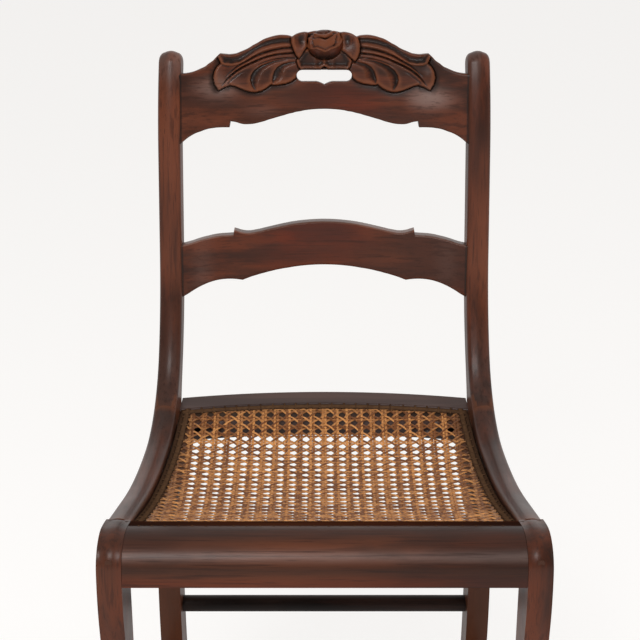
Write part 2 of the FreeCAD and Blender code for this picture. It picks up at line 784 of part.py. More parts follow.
def slot_solid():
    """The handhold, with round ends and a small cusp in its lower edge."""
    middle = crest_height * slot_middle_share
    bar = round_bar(Vector(-slot_half_length + slot_height / 2, -cut_over, middle),
                    Vector(-slot_half_length + slot_height / 2, cut_over, middle), slot_height / 2)
    span = slot_half_length - slot_height / 2
    body = box(-span, span, -cut_over, cut_over, middle - slot_height / 2, middle + slot_height / 2)
    low = middle - slot_height / 2
    corners = [Vector(-slot_cusp_half_length, -cut_over, low), Vector(0, -cut_over, low - slot_cusp_drop),
               Vector(slot_cusp_half_length, -cut_over, low), Vector(0, -cut_over, middle)]
    cusp = Part.Face(Part.makePolygon(corners + [corners[0]])).extrude(Vector(0, 2 * cut_over, 0))
    return body.fuse([bar, mirrored(bar), cusp])


def crest_half_board():
    """The left half of the crest rail with its leaf set in from the ground."""
    edges = rail_outline(crest_half, crest_height, crest_side_top_shares, crest_leaf_top_shares[0],
                         (crest_leaf_top_shares, crest_middle_top_share), crest_side_low_shares,
                         crest_step_share, (crest_arch_shares, crest_middle_low_share))
    prism = front_view_solid(edges, -cut_over, cut_over + crest_bow)
    reach = crest_half * end_share
    full = bowed_board(-crest_relief, crest_thickness + crest_relief, crest_bow, reach,
                       -crest_height, 2 * crest_height)
    ground = bowed_board(-crest_relief - cut_over, crest_relief + cut_over, crest_bow, reach,
                         -crest_height, 2 * crest_height)
    left_side = box(-front_width, 0, -front_width, front_width, -front_width, front_width)
    board = largest(prism.common(full).common(left_side))
    return largest(board.cut(ground.cut(leaf_prism())))


def crest_rail():
    """The crest rail: a bowed board with carved leaves, a rose and a handhold."""
    board = crest_half_board()
    for places in leaf_flute_shares:
        board = largest(board.cut(gouge(places)))
    for places in leaf_groove_shares:
        board = largest(board.cut(groove(places)))
    for x, z, radius in petal_shares:
        board = largest(board.fuse(bud((x, z), radius * crest_height, petal_rise, petal_ring_shares)))
    board = largest(board.fuse(half_calyx()))
    board = largest(board.cut(slot_solid()))
    board = largest(board.fuse(mirrored(board)))
    rose = bud((0, 1 - rose_radius / crest_height), rose_radius, rose_rise, rose_ring_shares)
    board = largest(board.fuse(rose))
    return largest(crest_place(board).common(between_sides(0)))


def half_calyx():
    """The left half of the plate under the bud."""
    points = outline_points(calyx_shares, crest_half, crest_height)
    face = Part.Face(Part.makePolygon(points + [points[0]]))
    face.translate(Vector(0, bow_at(0) - crest_relief - calyx_rise, 0))
    return face.extrude(Vector(0, crest_relief + calyx_rise + crest_thickness / 2, 0))


def crest_tenons(clearance):
    """Tenons of the crest rail, right across the chair until the posts part them."""
    reach = crest_half + stretcher_end_length + clearance
    front = (crest_thickness - tenon_thickness) / 2 - clearance
    low = crest_tenon_rise - clearance
    return crest_place(box(-reach, reach, front, front + tenon_thickness + 2 * clearance, low,
                           low + crest_tenon_height + 2 * clearance))


# Stretchers

def stretcher_ends(start, end, extra):
    """The thin round ends of a stretcher, as one bar from end to end."""
    run = (end - start).normalize() * extra
    return round_bar(start - run, end + run, stretcher_end_radius + extra)


def cross_points(middle):
    """The two ends of a stretcher that runs across the chair through the legs' middles."""
    reach = inner_half(middle.y) + stretcher_end_length
    return Vector(-reach, middle.y, middle.z), Vector(reach, middle.y, middle.z)


def leg_middle(front, back, height):
    """A point in the middle of the left leg between two side lines, at a height."""
    near = point_at(front.wire(), height=height).y
    far = point_at(back.wire(), height=height).y
    return side_centre((near + far) / 2, height)


def stretcher(points, members):
    """A stretcher whose shoulders meet the legs and whose ends go into them."""
    body = round_bar(points[0], points[1], stretcher_radius)
    shoulders = largest(body.cut(members))
    return largest(shoulders.fuse(stretcher_ends(points[0], points[1], 0)))


# Glue blocks

def corner_block():
    """The glue block in the left front corner, under the ledge."""
    depth = front_rail_top_depth
    high = point_at(seat_line.wire(), depth=depth + block_leg).z - ledge_drop - frame_thickness
    corner = Vector(-inner_half(depth), depth, high - block_height)
    back = Vector(-inner_half(depth + block_leg), depth + block_leg, high - block_height)
    side = Vector(-inner_half(depth) + block_leg, depth, high - block_height)
    face = Part.Face(Part.makePolygon([corner, side, back, corner]))
    return face.extrude(Vector(0, 0, block_height - fit))


# Making every piece

def build():
    blank = side_blank()
    leg, rail, post = parted_sides(blank)
    blank = side_place(blank)
    front_rail = front_rail_blank()
    rear_rail = rear_rail_blank()
    cane_rail = cane_rail_blank()
    slat = middle_slat()
    crest = crest_rail()

    members = Part.Compound([blank, mirrored(blank)])
    rear_points = cross_points(leg_middle(rear_line, back_line, rear_stretcher_height))
    front_points = cross_points(leg_middle(leg_line, calf_line, front_stretcher_height))
    side_points = (leg_middle(leg_line, calf_line, side_stretcher_height),
                   leg_middle(rear_line, back_line, side_stretcher_height))
    rear_stretcher = stretcher(rear_points, members)
    front_stretcher = stretcher(front_points, members)
    side_stretcher = stretcher(side_points, blank)

    dowels = leg_dowels(0)
    dowel_holes = leg_dowels(fit)
    cane_front_tenon, cane_rear_tenon = cane_rail_tenons(0)
    cane_front_mortise, cane_rear_mortise = cane_rail_tenons(fit)

    leg = leg.cut([front_rail_tenons(fit), *dowel_holes, stretcher_ends(*front_points, fit),
                   stretcher_ends(*side_points, fit)])
    post = post.cut([rail_tenon(fit), rear_rail_tenons(fit), slat_tenons(fit), crest_tenons(fit),
                     stretcher_ends(*rear_points, fit), stretcher_ends(*side_points, fit)])
    rail = rail.fuse(rail_tenon(0)).cut(list(dowel_holes))
    cane_rail = cane_rail.fuse([cane_front_tenon, cane_rear_tenon])
    front_rail = front_rail.fuse(front_rail_tenons(0))
    front_holes = [cane_front_mortise, *dowel_holes]
    front_rail = front_rail.cut(front_holes + [mirrored(hole) for hole in front_holes])
    rear_rail = rear_rail.fuse(rear_rail_tenons(0))
    rear_rail = rear_rail.cut([cane_rear_mortise, mirrored(cane_rear_mortise)])
    slat_ends = slat_tenons(0).cut(between_sides(0))
    slat = slat.fuse(slat_ends)
    crest = crest.fuse(crest_tenons(0).cut(between_sides(0)))

    front_binder, rear_binder, side_binder = binders()
    block = corner_block()
    pieces = {
        "left_back_post": post, "right_back_post": mirrored(post),
        "left_side_rail": rail, "right_side_rail": mirrored(rail),
        "left_front_leg": leg, "right_front_leg": mirrored(leg),
        "left_cane_rail": cane_rail, "right_cane_rail": mirrored(cane_rail),
        "left_side_stretcher": side_stretcher, "right_side_stretcher": mirrored(side_stretcher),
        "left_cane_binder": side_binder, "right_cane_binder": mirrored(side_binder),
        "left_corner_block": block, "right_corner_block": mirrored(block),
        "left_rail_dowels": Part.Compound(dowels), "right_rail_dowels": mirrored(Part.Compound(dowels)),
        "front_seat_rail": front_rail, "rear_seat_rail": rear_rail,
        "crest_rail": crest, "middle_slat": slat,
        "rear_stretcher": rear_stretcher, "front_stretcher": front_stretcher,
        "cane_seat": cane_net(), "front_cane_binder": front_binder, "rear_cane_binder": rear_binder,
    }
    # The origin lies on the floor, midway between the foremost and the rearmost point
    bounds = Part.Compound([blank, crest]).optimalBoundingBox(False)
    origin_depth = (bounds.YMin + bounds.YMax) / 2
    os.makedirs("parts", exist_ok=True)
    for name, shape in pieces.items():
        placed = shape.copy()
        placed.translate(Vector(0, -origin_depth, 0))
        solids = placed.Solids
        print(name, "solids", len(solids), "valid", placed.isValid(), "volume", round(placed.Volume))
        single = solids[0] if len(solids) == 1 else Part.Compound(solids)
        single.exportStep("parts/" + name + ".step")


build()
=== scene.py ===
import logging
import math
from dataclasses import dataclass, replace
from enum import Enum
from typing import Callable, Optional, Sequence, Union

import bmesh
import bpy
import numpy as np
from bmesh.types import BMEdge, BMesh, BMVert
from bpy.types import Material, Node, NodeSocket, NodeTree, Object
from mathutils import Matrix, Vector


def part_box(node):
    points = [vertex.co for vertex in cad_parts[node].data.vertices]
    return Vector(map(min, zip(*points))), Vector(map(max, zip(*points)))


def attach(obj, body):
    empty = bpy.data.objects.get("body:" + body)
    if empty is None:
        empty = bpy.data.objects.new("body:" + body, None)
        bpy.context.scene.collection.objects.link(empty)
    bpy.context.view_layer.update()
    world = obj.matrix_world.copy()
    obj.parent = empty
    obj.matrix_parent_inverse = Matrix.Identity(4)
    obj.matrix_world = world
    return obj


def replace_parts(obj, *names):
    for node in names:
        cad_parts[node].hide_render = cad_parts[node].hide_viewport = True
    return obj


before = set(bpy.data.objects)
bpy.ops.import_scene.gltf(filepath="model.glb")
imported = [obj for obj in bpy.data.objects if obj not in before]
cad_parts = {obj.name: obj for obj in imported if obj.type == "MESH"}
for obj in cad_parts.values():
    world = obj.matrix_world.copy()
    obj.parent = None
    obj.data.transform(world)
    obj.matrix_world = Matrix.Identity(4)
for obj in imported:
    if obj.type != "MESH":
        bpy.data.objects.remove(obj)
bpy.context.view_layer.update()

# Lengths in this file are millimetres, and places are measured from the middle of the chair,
# from the foremost line of the rolled front and from the floor. MM makes them metres.

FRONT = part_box("front_seat_rail")[0].y
MM = 0.001
NEAR = 0.05
SHARP_CORNER = math.radians(60)

Array = np.ndarray
Pair = tuple[float, float]
Triple = tuple[float, float, float]
Colour = tuple[float, float, float]
Path = Callable[[float], Pair]
Reach = Pair
Inputs = dict[Union[str, int], object]

log = logging.getLogger("side_chair")


# Drawing and mesh tools

class Pen:
    """Draws tangent straights and arcs in the plane of Y and Z, or only walks them."""

    longest_turn = 6.0

    def __init__(self, y: float, z: float, heading: float, mesh: Optional[BMesh] = None,
                 start: Optional[BMVert] = None) -> None:
        """Put the pen down.

        Args:
            y: Depth of the start.
            z: Height of the start.
            heading: Direction in degrees, from +Y towards +Z.
            mesh: The mesh to draw in, or None to walk without drawing.
            start: A vertex at the start that the line goes on from.
        """
        self.y, self.z, self.heading, self.mesh = y, z, heading, mesh
        self.tip = start
        if mesh is not None and start is None:
            self.tip = bmesh.ops.create_vert(mesh, co=(0, y, z))["vert"][0]

    def line_to(self, y: float, z: float) -> "Pen":
        """Draw a straight to a place and keep the heading.

        Args:
            y: Depth of its end.
            z: Height of its end.

        Returns:
            The pen.
        """
        if self.mesh is not None:
            self.tip = bmesh.ops.extrude_vert_indiv(self.mesh, verts=[self.tip])["verts"][0]
            bmesh.ops.translate(self.mesh, verts=[self.tip], vec=(0, y - self.y, z - self.z))
        self.y, self.z = y, z
        return self

    def straight(self, length: float) -> "Pen":
        """Draw a straight along the heading."""
        turn = math.radians(self.heading)
        return self.line_to(self.y + length * math.cos(turn), self.z + length * math.sin(turn))

    def arc(self, radius: float, turn: float, step: float = 9.0) -> "Pen":
        """Draw an arc.

        Args:
            radius: Its radius.
            turn: Degrees, to the left where positive.
            step: Longest edge of the drawn line.

        Returns:
            The pen.
        """
        hand = math.copysign(1.0, turn)
        first = math.radians(self.heading)
        centre_y = self.y - hand * radius * math.sin(first)
        centre_z = self.z + hand * radius * math.cos(first)
        if self.mesh is not None:
            by_turn = math.ceil(abs(turn) / self.longest_turn)
            by_length = math.ceil(math.radians(abs(turn)) * radius / step)
            swept = bmesh.ops.spin(self.mesh, geom=[self.tip], cent=(0, centre_y, centre_z), axis=(1, 0, 0),
                                   angle=math.radians(turn), steps=max(2, by_turn, by_length))
            self.tip = swept["geom_last"][0]
        self.heading += turn
        last = math.radians(self.heading)
        self.y = centre_y + hand * radius * math.sin(last)
        self.z = centre_z - hand * radius * math.cos(last)
        return self

    def arc_to_floor(self, radius: float, hand: int) -> "Pen":
        """Draw a falling arc that ends on the floor.

        Args:
            radius: Its radius.
            hand: 1 to turn left, -1 to turn right.

        Returns:
            The pen.
        """
        centre_z = self.z + hand * radius * math.cos(math.radians(self.heading))
        last = -math.degrees(math.acos(centre_z / (hand * radius)))
        return self.arc(radius, (last - self.heading + 180) % 360 - 180)

    def arc_to_depth(self, radius: float, depth: float) -> "Pen":
        """Draw a rising left-hand arc that ends at a depth."""
        centre_y = self.y - radius * math.sin(math.radians(self.heading))
        return self.arc(radius, math.degrees(math.asin((depth - centre_y) / radius)) - self.heading)


def close_outline(mesh: BMesh) -> None:
    """Join the two loose ends of an outline, if it has any, and fill it.

    Args:
        mesh: The mesh, with nothing in it but the outline.
    """
    ends = [v for v in mesh.verts if len(v.link_edges) == 1]
    if len(ends) == 2:
        bmesh.ops.contextual_create(mesh, geom=ends)
    bmesh.ops.edgeloop_fill(mesh, edges=mesh.edges[:])


def extrude_all(mesh: BMesh, offset: Sequence[float]) -> None:
    """Make the mesh's one face a solid.

    Args:
        mesh: A mesh with a single face.
        offset: The way that the far face lies.
    """
    moved = bmesh.ops.extrude_face_region(mesh, geom=mesh.faces[:])
    verts = [item for item in moved["geom"] if isinstance(item, BMVert)]
    bmesh.ops.translate(mesh, verts=verts, vec=offset)
    bmesh.ops.recalc_face_normals(mesh, faces=mesh.faces[:])


def round_edges(mesh: BMesh, pick: Callable[[BMEdge], bool], radius: float, segments: int) -> None:
    """Round the picked edges."""
    bmesh.ops.bevel(mesh, geom=[e for e in mesh.edges if pick(e)], offset=radius, affect="EDGES",
                    segments=segments, profile=0.5, material=-1, clamp_overlap=True)


def cut_level(mesh: BMesh, place: Sequence[float], normal: Sequence[float], clear: bool = False) -> None:
    """Cut the mesh along a plane.

    Args:
        mesh: The mesh.
        place: A place on the plane.
        normal: What the plane is square to.
        clear: Whether what lies in front of the plane is taken away and the hole closed.
    """
    bmesh.ops.bisect_plane(mesh, geom=mesh.verts[:] + mesh.edges[:] + mesh.faces[:], plane_co=place,
                           plane_no=normal, clear_outer=clear)
    if clear:
        bmesh.ops.holes_fill(mesh, edges=[e for e in mesh.edges if e.is_boundary])


def merged_copy(node: str, weld: float = 0.01, flat_angle: float = 0.5) -> BMesh:
    """A CAD node's mesh with its loose triangles joined.

    Args:
        node: Name of the node.
        weld: Vertices closer than this are joined.
        flat_angle: Faces that meet at less than this are joined, in degrees.

    Returns:
        The mesh in millimetres.
    """
    mesh = bmesh.new()
    mesh.from_mesh(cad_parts[node].data)
    bmesh.ops.translate(mesh, verts=mesh.verts[:], vec=(0, -FRONT, 0))
    bmesh.ops.scale(mesh, verts=mesh.verts[:], vec=(1 / MM,) * 3)
    bmesh.ops.remove_doubles(mesh, verts=mesh.verts[:], dist=weld)
    bmesh.ops.dissolve_limit(mesh, angle_limit=math.radians(flat_angle), verts=mesh.verts[:],
                             edges=mesh.edges[:])
    return mesh


def finished_piece(mesh: BMesh, name: str, finishes: Sequence[Material], smooth_angle: float = 35.0,
                   weighted: bool = True) -> Object:
    """Turn a mesh in millimetres into a piece of the chair.

    Args:
        mesh: The mesh, which is freed.
        name: Name of the piece.
        finishes: Its materials.
        smooth_angle: Edges sharper than this stay sharp, in degrees.
        weighted: Whether large faces rule the shading.

    Returns:
        The piece, riding on the chair.
    """
    bmesh.ops.scale(mesh, verts=mesh.verts[:], vec=(MM,) * 3)
    bmesh.ops.translate(mesh, verts=mesh.verts[:], vec=(0, FRONT, 0))
    data = bpy.data.meshes.new(name)
    mesh.to_mesh(data)
    mesh.free()
    for finish in finishes:
        data.materials.append(finish)
    data.shade_smooth()
    data.set_sharp_from_angle(angle=math.radians(smooth_angle))
    piece = bpy.data.objects.new(name, data)
    bpy.context.scene.collection.objects.link(piece)
    if weighted:
        normals = piece.modifiers.new("even shading", "WEIGHTED_NORMAL")
        normals.keep_sharp = True
    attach(piece, "root")
    log.info("%s: %d faces", name, len(data.polygons))
    return piece


def marked_mesh(names: Sequence[str]) -> BMesh:
    """Start a mesh whose vertices carry marks.

    Args:
        names: Names of the marks.

    Returns:
        The empty mesh.
    """
    mesh = bmesh.new()
    for name in names:
        mesh.verts.layers.float.new(name)
    return mesh


# Marks, which a finish reads as attributes

def smooth_step(value: Array) -> Array:
    """0 below zero, 1 above one, and eased between."""
    held = np.clip(value, 0.0, 1.0)
    return held * held * (3 - 2 * held)


def hump(distance: Array, width: float) -> Array:
    """1 on a line, falling to nothing a few widths from it."""
    return np.exp(-(distance / width) ** 2)


@dataclass(frozen=True)
class Band:
    """A mark that is strongest at one place and fades on both sides of it."""

    middle: float
    width: float

    def at(self, value: Array) -> Array:
        """Its strength at a value."""
        return hump(value - self.middle, self.width)


@dataclass(frozen=True)
class Onset:
    """A mark that starts at one place and is full a length further on, which may be negative."""

    start: float
    length: float

    def at(self, value: float) -> float:
        """Its strength at a value, from 0 to 1."""
        return min(1.0, max(0.0, (value - self.start) / self.length))

    def eased(self, value: Array) -> Array:
        """Its strength, with both ends eased."""
        return smooth_step((value - self.start) / self.length)


@dataclass(frozen=True)
class Spot:
    """A round mark on a board, drawn out where a share is less than 1."""

    x: float
    z: float
    width: float
    shares: Pair = (1.0, 1.0)

    def at(self, x: Array, z: Array) -> Array:
        """Its strength at places on the board."""
        return hump(np.hypot((x - self.x) * self.shares[0], (z - self.z) * self.shares[1]), self.width)


# Finishes

class Grain(Enum):
    """Which way the wood's grain runs."""

    ACROSS = "X"
    DEEP = "Y"
    UPRIGHT = "Z"


class NodeMaker:
    """Adds nodes to a node tree, with values or links in their sockets."""

    def __init__(self, tree: NodeTree) -> None:
        """Take the tree that the nodes go in."""
        self.tree = tree

    def feed(self, node: Node, inputs: Inputs) -> None:
        """Set or link inputs of a node.

        Args:
            node: The node.
            inputs: Values or sockets, by the name or number of the input.
        """
        for key, value in inputs.items():
            if isinstance(value, NodeSocket):
                self.tree.links.new(value, node.inputs[key])
            else:
                node.inputs[key].default_value = value

    def node(self, kind: str, inputs: Optional[Inputs] = None, **settings: object) -> Node:
        """Add a node.

        Args:
            kind: Its kind, without the leading ShaderNode.
            inputs: Values or sockets, by the name or number of the input.
            settings: Its other settings.

        Returns:
            The node.
        """
        new = self.tree.nodes.new(f"ShaderNode{kind}")
        for key, value in settings.items():
            setattr(new, key, value)
        self.feed(new, inputs or {})
        return new

    def attribute(self, name: str) -> NodeSocket:
        """The value of a mesh attribute."""
        return self.node("Attribute", attribute_name=name).outputs["Fac"]

    def maths(self, operation: str, *values: object) -> NodeSocket:
        """Values or sockets put through one operation."""
        return self.node("Math", dict(enumerate(values)), operation=operation).outputs["Value"]

    def scaled(self, value: NodeSocket, factor: float, base: float = 0.0) -> NodeSocket:
        """The value times a factor, plus a base."""
        return self.maths("MULTIPLY_ADD", value, factor, base)

    def ramp(self, value: NodeSocket, span: Pair, eased: bool = True) -> NodeSocket:
        """Spread a value over a span.

        Args:
            value: The value.
            span: Where the result is 0 and where it is 1.
            eased: Whether both ends are eased.

        Returns:
            The result, from 0 to 1.
        """
        curve = "SMOOTHSTEP" if eased else "LINEAR"
        spread = self.node("MapRange", {"Value": value, "From Min": span[0], "From Max": span[1]},
                           interpolation_type=curve)
        return spread.outputs["Result"]

    def mixed(self, share: NodeSocket, first: Union[Colour, NodeSocket],
              second: Union[Colour, NodeSocket]) -> NodeSocket:
        """Mix two colours."""
        first, second = (value if isinstance(value, NodeSocket) else (*value, 1) for value in (first, second))
        return self.node("Mix", {"Factor": share, 6: first, 7: second}, data_type="RGBA").outputs[2]

    def noise(self, place: NodeSocket, scale: float, **settings: float) -> NodeSocket:
        """A noise.

        Args:
            place: Where it is taken.
            scale: Its features in a metre.
            settings: Values of its other inputs.

        Returns:
            Its value, from 0 to 1.
        """
        inputs = {"Vector": place, "Scale": scale}
        inputs.update({name.title(): value for name, value in settings.items()})
        return self.node("TexNoise", inputs).outputs["Fac"]

    def bump(self, height: NodeSocket, strength: float, distance: float,
             normal: Optional[NodeSocket] = None) -> NodeSocket:
        """A bumpy surface.

        Args:
            height: Its height.
            strength: How strong it is.
            distance: How far a height of 1 stands out, in metres.
            normal: The surface that it lies on.

        Returns:
            Its normal.
        """
        inputs = {"Height": height, "Strength": strength, "Distance": distance}
        if normal is not None:
            inputs["Normal"] = normal
        return self.node("Bump", inputs).outputs["Normal"]


def new_material(name: str) -> tuple[Material, NodeMaker]:
    """Start a node material.

    Args:
        name: Its name.

    Returns:
        The material and what adds its nodes.
    """
    made = bpy.data.materials.new(name)
    made.use_nodes = True
    return made, NodeMaker(made.node_tree)


@dataclass(frozen=True)
class Figure:
    """One layer of the wood's figure: a noise drawn out along the grain."""

    scale: float
    stretch: float
    detail: float
    shift: float
    roughness: float = 0.55
    shift_shares: Triple = (1.0, 1.7, 0.6)

    def value(self, nodes: NodeMaker, coords: NodeSocket, grain: Grain, seed: float) -> NodeSocket:
        """Add the noise.

        Args:
            nodes: What adds the nodes.
            coords: The object's coordinates.
            grain: Which way the grain runs.
            seed: The finish's own shift.

        Returns:
            Its value, from 0 to 1.
        """
        ratio = [1 / self.stretch if grain.value == axis else 1.0 for axis in "XYZ"]
        shifts = [self.shift * share + own for share, own in zip(self.shift_shares, (seed, -seed, 0.0))]
        place = nodes.node("Mapping", {"Vector": coords, "Scale": ratio, "Location": shifts})
        return nodes.noise(place.outputs["Vector"], self.scale, detail=self.detail, roughness=self.roughness)


STREAKS = Figure(60.0, 14.0, 5.0, 0.3)
FINE_STREAKS = Figure(300.0, 30.0, 3.0, 5.9)
BROAD_BANDS = Figure(9.0, 3.0, 3.0, 2.1)
PORES = Figure(900.0, 40.0, 2.0, 4.4)
SMUDGES = Figure(30.0, 1.5, 6.0, 7.7)
PATCHES = Figure(22.0, 5.0, 5.0, 9.4)
SMOKE = Figure(16.0, 3.5, 6.0, 12.6)


@dataclass(frozen=True)
class WoodFinish:
    """Old polished wood: streaked colour, open pores, handling wear and a worn varnish, with painted sheen
    and painted shade laid on from marks and from pointiness.

    The spans say over which part of a noise or mark a layer sets in, and the shares how strong it gets.
    """

    name: str
    dark: Colour
    warm: Colour
    pale: Colour
    red: Colour = (0.120, 0.019, 0.006)
    # Grey painted sheen: painted highlight and reflection, laid where the mark of red and sheen is below
    # zero.
    painted_sheen: Colour = (0.20, 0.130, 0.110)
    rubbed: Colour = (0.19, 0.058, 0.022)
    # Dark colour for painted shade in corners and hollows, and for grime.
    shade_and_soil: Colour = (0.010, 0.0058, 0.0042)
    smoked: Colour = (0.022, 0.0125, 0.0100)
    roughness: float = 0.42
    roughness_spread: float = 0.26
    varnish: float = 0.26
    varnish_roughness: float = 0.23
    shine: float = 0.2
    wear: float = 0.6
    seed: float = 0.0
    streak_span: Pair = (0.36, 0.62)
    pale_span: Pair = (0.42, 0.70)
    patch_span: Pair = (0.30, 0.70)
    red_span: Pair = (0.05, 1.0)
    red_patchiness: float = 0.65
    painted_sheen_span: Pair = (-0.05, -1.0)
    painted_sheen_patchiness: float = 0.62
    smoke_span: Pair = (0.47, 0.62)
    smoke_streaks: Pair = (1.4, -0.1)
    smoke_share: float = 0.75
    fine_span: Pair = (0.50, 0.68)
    fine_share: float = 0.55
    pore_span: Pair = (0.60, 0.72)
    pore_share: float = 0.55
    edge_span: Pair = (0.515, 0.57)
    worn_share: float = 0.52
    # Painted shade in concave corners, read from pointiness.
    hollow_span: Pair = (0.49, 0.44)
    hollow_share: float = 0.75
    grime_and_shade_share: float = 0.9
    pore_depth_span: Pair = (0.5, 0.8)
    pore_depth_share: float = 0.5
    pore_bump: Pair = (0.16, 0.0006)
    wave_bump: Pair = (0.10, 0.004)

    def material(self, grain: Grain) -> Material:
        """Build the material, which reads three marks: wear, grime with painted shade, and red with painted
        sheen.

        Args:
            grain: Which way the grain runs.

        Returns:
            The node material.
        """
        made, nodes = new_material(f"{self.name}_{grain.value}")
        coords = nodes.node("TexCoord").outputs["Object"]
        streaks, bands, pores, smudges, fine, patches, smoke = (
            figure.value(nodes, coords, grain, self.seed)
            for figure in (STREAKS, BROAD_BANDS, PORES, SMUDGES, FINE_STREAKS, PATCHES, SMOKE))
        colour = nodes.mixed(nodes.ramp(streaks, self.streak_span), self.dark, self.warm)
        colour = nodes.mixed(nodes.ramp(bands, self.pale_span), colour, self.pale)
        colour = self.toned(nodes, colour, nodes.ramp(patches, self.patch_span))
        smoke = nodes.maths("MULTIPLY", nodes.ramp(smoke, self.smoke_span),
                            nodes.scaled(streaks, *self.smoke_streaks))
        colour = nodes.mixed(nodes.scaled(smoke, self.smoke_share), colour, self.smoked)
        for lines, span, share in ((fine, self.fine_span, self.fine_share),
                                   (pores, self.pore_span, self.pore_share)):
            colour = nodes.mixed(nodes.scaled(nodes.ramp(lines, span), share), colour, self.dark)
        colour = self.aged(nodes, colour)
        depth = nodes.scaled(nodes.ramp(pores, self.pore_depth_span), -self.pore_depth_share, 1.0)
        normal = nodes.bump(smudges, *self.wave_bump, nodes.bump(depth, *self.pore_bump))
        base = self.roughness - self.roughness_spread / 2
        nodes.feed(nodes.tree.nodes["Principled BSDF"], {
            "Base Color": colour, "Roughness": nodes.scaled(smudges, self.roughness_spread, base),
            "Normal": normal, "Coat Weight": self.varnish, "Coat Roughness": self.varnish_roughness,
            "Specular IOR Level": self.shine})
        return made

    def toned(self, nodes: NodeMaker, colour: NodeSocket, patches: NodeSocket) -> NodeSocket:
        """Redden the colour where the mark of red and sheen is positive, and lay a painted sheen on it where
        it is negative.

        Args:
            nodes: What adds the nodes.
            colour: The colour so far.
            patches: A value that breaks both up.

        Returns:
            The toned colour.
        """
        warmth = nodes.attribute("warmth")
        redder = nodes.maths("MULTIPLY", nodes.ramp(warmth, self.red_span),
                             nodes.scaled(patches, self.red_patchiness, 1 - self.red_patchiness))
        sheen_amount = nodes.maths("MULTIPLY", nodes.ramp(warmth, self.painted_sheen_span),
                             nodes.scaled(patches, -self.painted_sheen_patchiness, 1.0))
        return nodes.mixed(sheen_amount, nodes.mixed(redder, colour, self.red), self.painted_sheen)

    def aged(self, nodes: NodeMaker, colour: NodeSocket) -> NodeSocket:
        """Rub the colour bright on edges and worn marks, and darken it with painted shade in corners and with
        grime and painted shade where that mark lies.

        Args:
            nodes: What adds the nodes.
            colour: The colour so far.

        Returns:
            The aged colour.
        """
        edges = nodes.node("NewGeometry").outputs["Pointiness"]
        rubbed = nodes.maths("MAXIMUM", nodes.scaled(nodes.ramp(edges, self.edge_span), self.wear),
                             nodes.scaled(nodes.attribute("worn"), self.worn_share))
        colour = nodes.mixed(rubbed, colour, self.rubbed)
        shade_and_soiled = nodes.maths("MAXIMUM", nodes.scaled(nodes.ramp(edges, self.hollow_span), self.hollow_share),
                             nodes.scaled(nodes.attribute("grime"), self.grime_and_shade_share))
        return nodes.mixed(shade_and_soiled, colour, self.shade_and_soil)


@dataclass(frozen=True)
class CaneFinish:
    """Aged rattan cane: golden brown, darker strands, grime towards the frame."""

    name: str
    gold: Colour
    brown: Colour
    grime: Colour
    roughness: float = 0.42
    shine: float = 0.2
    cloud_scale: float = 330.0
    cloud_detail: float = 4.0
    cloud_share: float = 0.9
    brown_span: Pair = (0.42, 1.2)
    fibre_scale: float = 900.0
    fibre_bump: Pair = (0.25, 0.0003)

    def material(self) -> Material:
        """Build the material, which reads the marks strand and dirt.

        Returns:
            The node material.
        """
        made, nodes = new_material(self.name)
        coords = nodes.node("TexCoord").outputs["Object"]
        cloud = nodes.noise(coords, self.cloud_scale, detail=self.cloud_detail)
        tone = nodes.maths("MULTIPLY_ADD", cloud, self.cloud_share, nodes.attribute("strand"))
        colour = nodes.mixed(nodes.ramp(tone, self.brown_span, eased=False), self.gold, self.brown)
        colour = nodes.mixed(nodes.attribute("dirt"), colour, self.grime)
        fibre = nodes.noise(coords, self.fibre_scale)
        nodes.feed(nodes.tree.nodes["Principled BSDF"], {
            "Base Color": colour, "Normal": nodes.bump(fibre, *self.fibre_bump), "Roughness": self.roughness,
            "Specular IOR Level": self.shine})
        return made


MAHOGANY = WoodFinish("polished_mahogany", dark=(0.034, 0.011, 0.0062), warm=(0.104, 0.0245, 0.0095),
                      pale=(0.140, 0.040, 0.018))
CARVED_WOOD = WoodFinish("carved_mahogany", dark=(0.030, 0.0100, 0.0056), warm=(0.100, 0.0245, 0.0098),
                         pale=(0.145, 0.040, 0.018), wear=0.22, seed=1.0)
ROLL_WOOD = WoodFinish("front_rail_mahogany", dark=(0.024, 0.0075, 0.0042), warm=(0.070, 0.0175, 0.007),
                       pale=(0.10, 0.030, 0.013), varnish=0.2, wear=0.0, seed=2.0)
LEDGE_WOOD = replace(ROLL_WOOD, name="front_ledge_mahogany", roughness=0.8, varnish=0.0, shine=0.0)
REAR_WOOD = WoodFinish("rear_rail_mahogany", dark=(0.046, 0.026, 0.022), warm=(0.075, 0.040, 0.032),
                       pale=(0.115, 0.076, 0.066), roughness=0.46, wear=0.0, seed=6.0)
# Darker than the rest of the frame.
STRETCHER_WOOD = WoodFinish("dark_stretcher_wood", dark=(0.007, 0.0034, 0.0026), warm=(0.026, 0.010, 0.0065),
                            pale=(0.040, 0.018, 0.012), roughness=0.5, varnish=0.05, wear=0.0, seed=3.0)
INNER_WOOD = WoodFinish("seat_frame_wood", dark=(0.017, 0.009, 0.006), warm=(0.036, 0.019, 0.011),
                        pale=(0.055, 0.036, 0.024), roughness=0.62, varnish=0.0, wear=0.2, seed=5.0)
DOWEL_WOOD = WoodFinish("dowel_end_wood", dark=(0.016, 0.008, 0.006), warm=(0.030, 0.012, 0.008),
                        pale=(0.04, 0.02, 0.014), roughness=0.5, varnish=0.1, wear=0.2, seed=8.0)
CANE = CaneFinish("aged_cane", gold=(0.66, 0.295, 0.095), brown=(0.17, 0.059, 0.019),
                  grime=(0.075, 0.042, 0.026))
BINDER_CANE = CaneFinish("grimy_binder_cane", gold=(0.135, 0.070, 0.034), brown=(0.058, 0.029, 0.016),
                         grime=(0.030, 0.018, 0.012), roughness=0.9, shine=0.0)


# Side members

